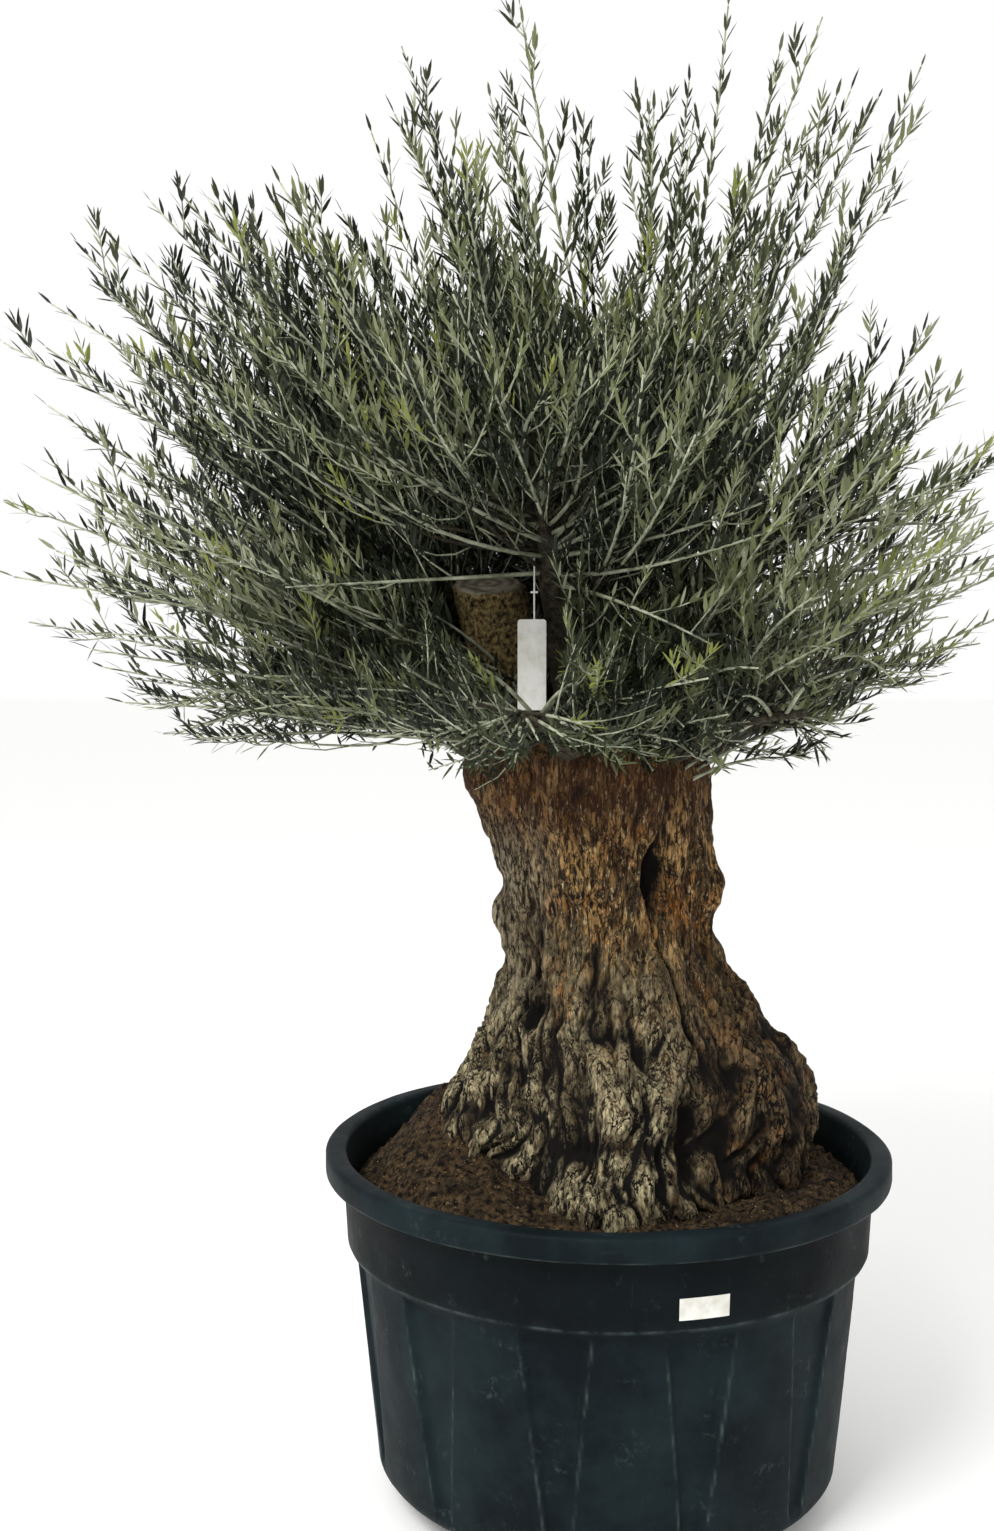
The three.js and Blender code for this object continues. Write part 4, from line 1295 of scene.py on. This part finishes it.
# %% [markdown]
# ## Leaf places
# Leaves sit on side shoots and wands in opposite pairs, each pair a quarter turn from the last, with
# one at the tip. Pairs stand closer towards the tip, and on the sprays in front.

# %% Leaf places
LEAF_SPACING = 0.0138
LEAF_START = (0.16, 0.42)  # shares of a side shoot and of a wand below which there are no leaves
LEAF_END = 0.98
CROWDING = 0.75  # below 1, pairs stand closer towards the tip
FRONT_SIZE = 0.78  # leaves of the sprays in front are smaller and closer
FRONT_DEPTH = (0.15, 0.25)  # metres in front of the axis where that starts, and how gently

bearers = np.concatenate((shoots, wands))
bearer_mass = np.concatenate((shoot_mass, wand_mass))
start = np.repeat(LEAF_START, (len(shoots), len(wands)))
in_front = smooth((-bearers[:, 0, 1] - FRONT_DEPTH[0]) / FRONT_DEPTH[1])
bearer_size = 1 - (1 - FRONT_SIZE) * in_front
spacing = LEAF_SPACING * bearer_size
pair_owner, pair_place, pair_share = spread_along(bearers, start, LEAF_END, spacing)
pair_start = start[pair_owner]
crowded = ((pair_share - pair_start) / (LEAF_END - pair_start)) ** CROWDING
pair_share = between((pair_start, LEAF_END), crowded)
tip_owner = np.arange(len(bearers))
leaf_owner = np.concatenate((pair_owner, pair_owner, tip_owner))
leaf_place = np.concatenate((pair_place, pair_place, 0 * tip_owner))
leaf_share = np.concatenate((pair_share, pair_share, np.ones(len(bearers))))
hand = np.repeat((1.0, -1.0, 0.0), (len(pair_owner), len(pair_owner), len(bearers)))[:, None]
print(len(leaf_owner), "places for leaves")

# %% [markdown]
# ## Leaf directions
# An olive leaf is a narrow lance, about 35 mm by 6. Leaves lean forward along the shoot and turn up to
# the light, each a little its own way. Those that would lie in a window, in the trunk's head or below
# the crown's lower edge are left out.

# %% Leaf directions
LEAF_LENGTH = 0.035
LEAF_WIDTH = 0.0061
LEAF_ANGLE = (math.radians(56), math.radians(26))  # at the foot and the tip of a shoot
ANGLE_VARIED = (0.8, 1.2)
TURN_VARIED = 0.5  # radians
LEAF_LIFT = 0.28
LEAF_FACING = (0.45, 0.7)  # how far the upper side looks along the shoot and up
SIZE_VARIED = (0.72, 1.22)
TIP_SMALLER = (0.2, 0.75)  # how much leaves shrink at the tip, and from which share on

number = np.arange(len(leaf_owner))
heading = curve_headings(bearers[leaf_owner], leaf_share)
root = curve_points(bearers[leaf_owner], leaf_share)
turn = np.pi / 2 * leaf_place + ANY_TURN * chance(leaf_owner, 11)
side = sides_of(heading, turn + TURN_VARIED * (chance(number, 12) - 0.5))
angle = between(LEAF_ANGLE, leaf_share)
angle = (angle * between(ANGLE_VARIED, chance(number, 13)))[:, None]
leaf_aim = unit(heading * np.cos(angle) + side * hand * np.sin(angle) + UP * LEAF_LIFT)
face = heading * LEAF_FACING[0] + UP * LEAF_FACING[1] + side * (chance(number, 14) - 0.5)[:, None]
face = unit(face - leaf_aim * np.sum(face * leaf_aim, axis=1, keepdims=True))
size = between(SIZE_VARIED, chance(number, 15))
size = size - TIP_SMALLER[0] * smooth((leaf_share - TIP_SMALLER[1]) / (1 - TIP_SMALLER[1]))
size = size * bearer_size[leaf_owner]
keep = is_free(root) & is_free(root + leaf_aim * (LEAF_LENGTH * size)[:, None])
print(int(keep.sum()), "leaves")

# %% [markdown]
# ## Leaf shape
# Four triangles give a leaf its own outline and its droop. A picture on a card would be lighter, but
# its cut-out edges don't survive an export.

# %% Leaf shape
LEAF_PLACES = (0.32, 0.70)  # shares of the length: the broad part and the narrowing part
LEAF_BREADTHS = (0.50, 0.37)  # shares of the width
LEAF_DROOP = 0.10  # of the length
LEAF_FACES = np.array(((0, 2, 1), (1, 2, 4), (1, 4, 3), (3, 4, 5)))


def leaf_arrays(root, aim, face, size):
    """Corners and triangles of leaves."""
    across = np.cross(aim, face)
    long = (LEAF_LENGTH * size)[:, None]
    broad = (LEAF_WIDTH * size)[:, None]
    corners = [root]
    for share, breadth in zip(LEAF_PLACES, LEAF_BREADTHS):
        rib = root + aim * long * share - face * long * LEAF_DROOP * share**2
        corners += [rib - across * broad * breadth, rib + across * broad * breadth]
    corners.append(root + aim * long - face * long * LEAF_DROOP)
    vertices = np.stack(corners, axis=1)
    starts = np.arange(len(root))[:, None, None] * len(corners)
    return vertices.reshape(-1, 3), (LEAF_FACES + starts).reshape(-1, 3)


print("a leaf has", len(LEAF_FACES), "triangles")

# %% [markdown]
# ## Tubes and joined meshes
# A hundred thousand objects would stop Blender, and particles or instances don't survive an export.
# So the leaves of each mass are one mesh made from arrays, and so are its twigs. A twig is a tube of
# a few sides that tapers along its curve.

# %% Mesh builders
def tube_arrays(curves, radii, sides, steps, taper=1):
    """Corners and triangles of tapering tubes along curves, closed at both ends."""
    rows = []
    for share in np.linspace(0, 1, steps + 1):
        at = np.full(len(curves), share)
        middle = curve_points(curves, at)
        heading = curve_headings(curves, at)
        radius = radii[1] + (radii[0] - radii[1]) * (1 - share) ** taper
        for turn in np.arange(sides) * 2 * np.pi / sides:
            rows.append(middle + sides_of(heading, np.full(len(curves), turn)) * radius)
    vertices = np.stack(rows, axis=1)
    faces = []
    for step in range(steps):
        for k in range(sides):
            a, b = step * sides + k, step * sides + (k + 1) % sides
            faces += [(a, b, b + sides), (a, b + sides, a + sides)]
    for k in range(1, sides - 1):
        faces += [(0, k + 1, k), (steps * sides, steps * sides + k, steps * sides + k + 1)]
    starts = np.arange(len(curves))[:, None, None] * vertices.shape[1]
    return vertices.reshape(-1, 3), (np.array(faces) + starts).reshape(-1, 3)


def joined(parts):
    """Several vertex and triangle arrays as one."""
    vertices, triangles, start = [], [], 0
    for corners, faces in parts:
        vertices.append(corners)
        triangles.append(faces + start)
        start += len(corners)
    return np.concatenate(vertices), np.concatenate(triangles)


def mesh_piece(name, vertices, triangles, materials, choices):
    """A new object from arrays, with one of the materials chosen for each triangle."""
    mesh = bpy.data.meshes.new(name)
    mesh.from_pydata(vertices.tolist(), [], triangles.tolist())
    for material in materials:
        mesh.materials.append(material)
    mesh.polygons.foreach_set("material_index", choices.astype(np.int32))
    piece = bpy.data.objects.new(name, mesh)
    bpy.context.collection.objects.link(piece)
    return piece


print("mesh builders ready")

# %% [markdown]
# ## Leaves and twigs as materials
# Olive leaves are dull green above and silvery below, leathery and half glossy. Each leaf has one
# plain colour, and the dull green upper side comes as three copies, painted in deep shade, in shade and
# lit. Young twigs are pale grey-green with a mealy bloom.

# %% Leaf and twig materials
# the first three colours are one olive leaf: painted in deep shade, painted in shade and painted lit
LEAF_COLOURS = (
    ("olive leaf painted in deep shade", "#20261a"),
    ("olive leaf in shade", "#3a402a"),
    ("olive leaf", "#696f4c"),
    ("olive leaf back", "#8a8e73"),
    ("new olive leaf", "#7b8042"),
)

leaf_materials = []
for name, colour in LEAF_COLOURS:
    leaf = start_material(name)
    finish_material(leaf, Base_Color=colour, Roughness=0.55, Specular_IOR_Level=0.25)
    leaf_materials.append(leaf)

twig = start_material("young olive twig")
place = add(twig, "TexCoord", {}, "Object")
mealy = paint(twig, "#686d57", "#b3b79f", spots(twig, place, 0.03, 0.35, 0.65))
finish_material(twig, Base_Color=mealy, Roughness=0.8, Specular_IOR_Level=0.2)
print("leaf materials:", len(leaf_materials))

# %% [markdown]
# ## Dealing out the leaf colours
# A whole spray has one colour, as a spray lies in one light. Deep inside the crown, at its left end
# and round the head of the trunk the leaves are painted in deep shade, at the edge they are painted in
# shade, dark against the sky, and in between they are painted lit greyish green, more so in front and
# on the right. Leaves that show their backs are silver, and the newest shoots are yellow-green.

# %% Leaf colours
# the first three colours are painted light: deep shade, shade and lit
PAINTED_DEEP_SHADE, SHADED, LIT, BACK, NEW = range(len(LEAF_COLOURS))
DEEP = 0.62  # shares of the dense part
MIDDLE = 0.85
EDGE = 1.10
LIT_INSIDE = 0.30  # shares of the sprays
LIT_OUTSIDE = 0.65
LIT_BEYOND = 0.15
LIT_LOW = 0.22
LOW = 1.36  # leaves below this height are in shade
RIGHT_LIGHT = (0.25, 0.3)  # more lit sprays on the right, where the crown is thin, and how far
FRONT_LIGHT = (0.35, 0.3, 0.2)  # and in front, from how far on, and how gently
LEFT_EDGE = (-0.36, -0.62)  # between these the leaves are painted darker towards the left, as shade against the sky
LEFT_LOSS = (0.7, 0.65)  # share of lit sprays lost to painted shade, and the share painted in deep shade
DARK_SHARES = (0.8, 0.45, 0.75)  # of sprays painted in deep shade: deep inside, low down and near the head
HEAD_SHADE = (0.50, 1.26)  # near the head means this near to its axis, and below this height
TURNED_BACK = -0.2  # cosine between the upper side and the way out of the crown
BACK_SHARE = 0.32
NEW_SHARE = 0.07

spray = chance(leaf_owner, 16)
exposure = share_of(DENSE, bearers[leaf_owner, 0])
x, y, z = root.T
is_deep = exposure < DEEP
is_low = z < LOW
# painted shade round the head of the trunk
near_head = (np.hypot(x - HEAD[0], y) < HEAD_SHADE[0]) & (z < HEAD_SHADE[1])
shows_back = np.sum(face * unit(root - CROWN_CENTRE), axis=1) < TURNED_BACK
# painted shade: leaves darken towards the left edge, dark against the sky
left_shade = smooth((x - LEFT_EDGE[0]) / (LEFT_EDGE[1] - LEFT_EDGE[0]))
lit_share = np.where(exposure > MIDDLE, LIT_OUTSIDE, LIT_INSIDE)
lit_share = np.where(exposure > EDGE, LIT_BEYOND, lit_share)
lit_share = np.where(is_low, LIT_LOW, lit_share)
lit_share = lit_share + RIGHT_LIGHT[0] * smooth(x / RIGHT_LIGHT[1])
in_front = smooth((-y - FRONT_LIGHT[1]) / FRONT_LIGHT[2])
lit_share = lit_share + FRONT_LIGHT[0] * in_front * ~is_low
lit_share = lit_share * (1 - LEFT_LOSS[0] * left_shade)
# the rules paint lit sprays, then deep shade inside, low down, at the left and near the head
rules = (  # the last that holds for a leaf gives its colour
    (spray < lit_share, LIT),
    (is_deep & (spray < DARK_SHARES[0]), PAINTED_DEEP_SHADE),
    (is_low & (spray > 1 - DARK_SHARES[1]), PAINTED_DEEP_SHADE),
    (spray > 1 - LEFT_LOSS[1] * left_shade, PAINTED_DEEP_SHADE),
    (near_head & (spray > 1 - DARK_SHARES[2]), PAINTED_DEEP_SHADE),
    (shows_back & ~is_low & (exposure > DEEP) & (chance(number, 17) < BACK_SHARE), BACK),
    ((spray > 1 - NEW_SHARE) & (exposure > DEEP) & ~near_head, NEW),
)
colour = np.full(len(root), SHADED)
for holds, kind in rules:
    colour[holds] = kind
print("leaf colours:", np.bincount(colour[keep]))

# %% [markdown]
# ## The crown, mass by mass
# Each packed mass is replaced by two meshes, its leaves and its twigs. The stem that carries a mass
# starts as thick as its limb's tip, so it grows out of the bark without a step. Stems and the feet
# of the older wands wear the boughs' bark.

# %% Crown
WAND_RADII = (0.0037, 0.0012)
WAND_SIDES = 5
WAND_STEPS = 9
OLD_STEPS = 4  # of a wand's steps, with older bark
SHOOT_RADII = (0.0016, 0.0008)
SHOOT_SIDES = 3
SHOOT_STEPS = 3
STEM_TIP_RADIUS = 0.006
STEM_SIDES = 8
STEM_STEPS = 6
STEM_TAPER = 3  # a stem is soon thin above its limb
STEM_SUNK = 0.01  # metres that it starts inside the limb

leaf_mass = bearer_mass[leaf_owner]
for mass, name in enumerate(mass_names):
    chosen = keep & (leaf_mass == mass)
    vertices, triangles = leaf_arrays(root[chosen], leaf_aim[chosen], face[chosen], size[chosen])
    choices = np.repeat(colour[chosen], len(LEAF_FACES))
    leaves = mesh_piece("leaves_" + name, vertices, triangles, leaf_materials, choices)
    settle(leaves, "foliage", "foliage_" + name)

    stem_end = limb_tips[mass] + limb_ends[mass] * stem_length[mass]
    stem_foot = limb_tips[mass] - limb_ends[mass] * STEM_SUNK
    stem = np.array([(stem_foot, (stem_foot + stem_end) / 2, stem_end)])
    stem_radii = (tip_radii[mass], STEM_TIP_RADIUS)
    stem_tube = tube_arrays(stem, stem_radii, STEM_SIDES, STEM_STEPS, STEM_TAPER)
    of_mass = wand_mass == mass
    wand_tubes = tube_arrays(wands[of_mass], WAND_RADII, WAND_SIDES, WAND_STEPS)
    shoot_tubes = tube_arrays(shoots[shoot_mass == mass], SHOOT_RADII, SHOOT_SIDES, SHOOT_STEPS)
    vertices, triangles = joined((stem_tube, wand_tubes, shoot_tubes))
    wand_faces = len(wand_tubes[1]) // of_mass.sum()
    at_foot = np.arange(wand_faces) < OLD_STEPS * WAND_SIDES * 2
    is_old = np.zeros(len(triangles), bool)
    is_old[: len(stem_tube[1])] = True
    is_old[len(stem_tube[1]) :][: len(wand_tubes[1])] = np.outer(~is_pale[of_mass], at_foot).ravel()
    twigs = mesh_piece("twigs_" + name, vertices, triangles, [twig, young], is_old)
    twigs.data.shade_smooth()
    settle(twigs, "foliage", "foliage_" + name)

# %% [markdown]
# ## Hanging tag
# A blank card tag hangs from the lowest wand of the upper fan, as garden centres use. The card is a
# cube scaled flat. The four edges of its thickness are found by their direction and bevelled.

# %% Hanging tag
TAG_MIDDLE = (-0.1235, -0.262, 1.2965)
TAG_SIZE = (0.040, 0.0008, 0.126)
TAG_CORNER = 0.004
TAG_TURN = 8  # degrees about its own middle


def box(name, middle, size):
    deselect()
    bpy.ops.mesh.primitive_cube_add(size=1, location=middle)
    piece = bpy.context.object
    piece.name = name
    bpy.ops.transform.resize(value=size)
    bpy.ops.object.transform_apply(location=True, scale=True)
    return piece


tag = box("hanging_tag", TAG_MIDDLE, TAG_SIZE)
bpy.ops.object.mode_set(mode="EDIT")
bpy.ops.mesh.select_mode(type="EDGE")
bpy.ops.mesh.select_all(action="DESELECT")
bpy.ops.object.mode_set(mode="OBJECT")
for edge in tag.data.edges:
    ends = [tag.data.vertices[k].co for k in edge.vertices]
    edge.select = abs(ends[0].y - ends[1].y) > TAG_SIZE[1] / 2
bpy.ops.object.mode_set(mode="EDIT")
bpy.ops.mesh.bevel(offset=TAG_CORNER, segments=4)
bpy.ops.mesh.select_all(action="SELECT")
bpy.ops.transform.rotate(
    value=math.radians(TAG_TURN), orient_axis="Z", center_override=TAG_MIDDLE
)
bpy.ops.object.mode_set(mode="OBJECT")
tag.data.materials.append(card)
print("tag card:", len(tag.data.vertices), "vertices")

# %% [markdown]
# ## Nylon strap
# The tag's strap is moulded nylon, white and slightly glossy, and greyed by the weather. The strap
# and its small crossbar are thin cubes, and the loop round the wand is a torus.

# %% Nylon strap
STRAP_SIZE = (0.0022, 0.0008, 0.078)
STRAP_MIDDLE = (-0.1205, -0.262, 1.396)
CROSSBAR_SIZE = (0.010, 0.0024, 0.0026)
CROSSBAR_HEIGHT = 1.397
LOOP_HEIGHT = 1.4405
LOOP_RADIUS = 0.0075
LOOP_THICKNESS = 0.0008  # radius of its round

nylon = start_material("white nylon strap")
place = add(nylon, "TexCoord", {}, "Object")
greyed = paint(nylon, "#e6e6e0", "#c4c2b6", spots(nylon, place, 0.01, 0.4, 0.7))
finish_material(nylon, Base_Color=greyed, Roughness=0.45, Specular_IOR_Level=0.3)
strap = box("strap", STRAP_MIDDLE, STRAP_SIZE)
crossbar = box("crossbar", (*STRAP_MIDDLE[:2], CROSSBAR_HEIGHT), CROSSBAR_SIZE)
deselect()
bpy.ops.mesh.primitive_torus_add(
    location=(*STRAP_MIDDLE[:2], LOOP_HEIGHT),
    rotation=(0, math.pi / 2, 0),
    major_radius=LOOP_RADIUS,
    minor_radius=LOOP_THICKNESS,
    major_segments=24,
    minor_segments=6,
)
loop = bpy.context.object
bpy.ops.object.transform_apply(location=True, rotation=True)
for piece in (strap, crossbar, loop):
    piece.data.materials.append(nylon)
tag = join([tag, strap, crossbar, loop])
settle(tag, None)
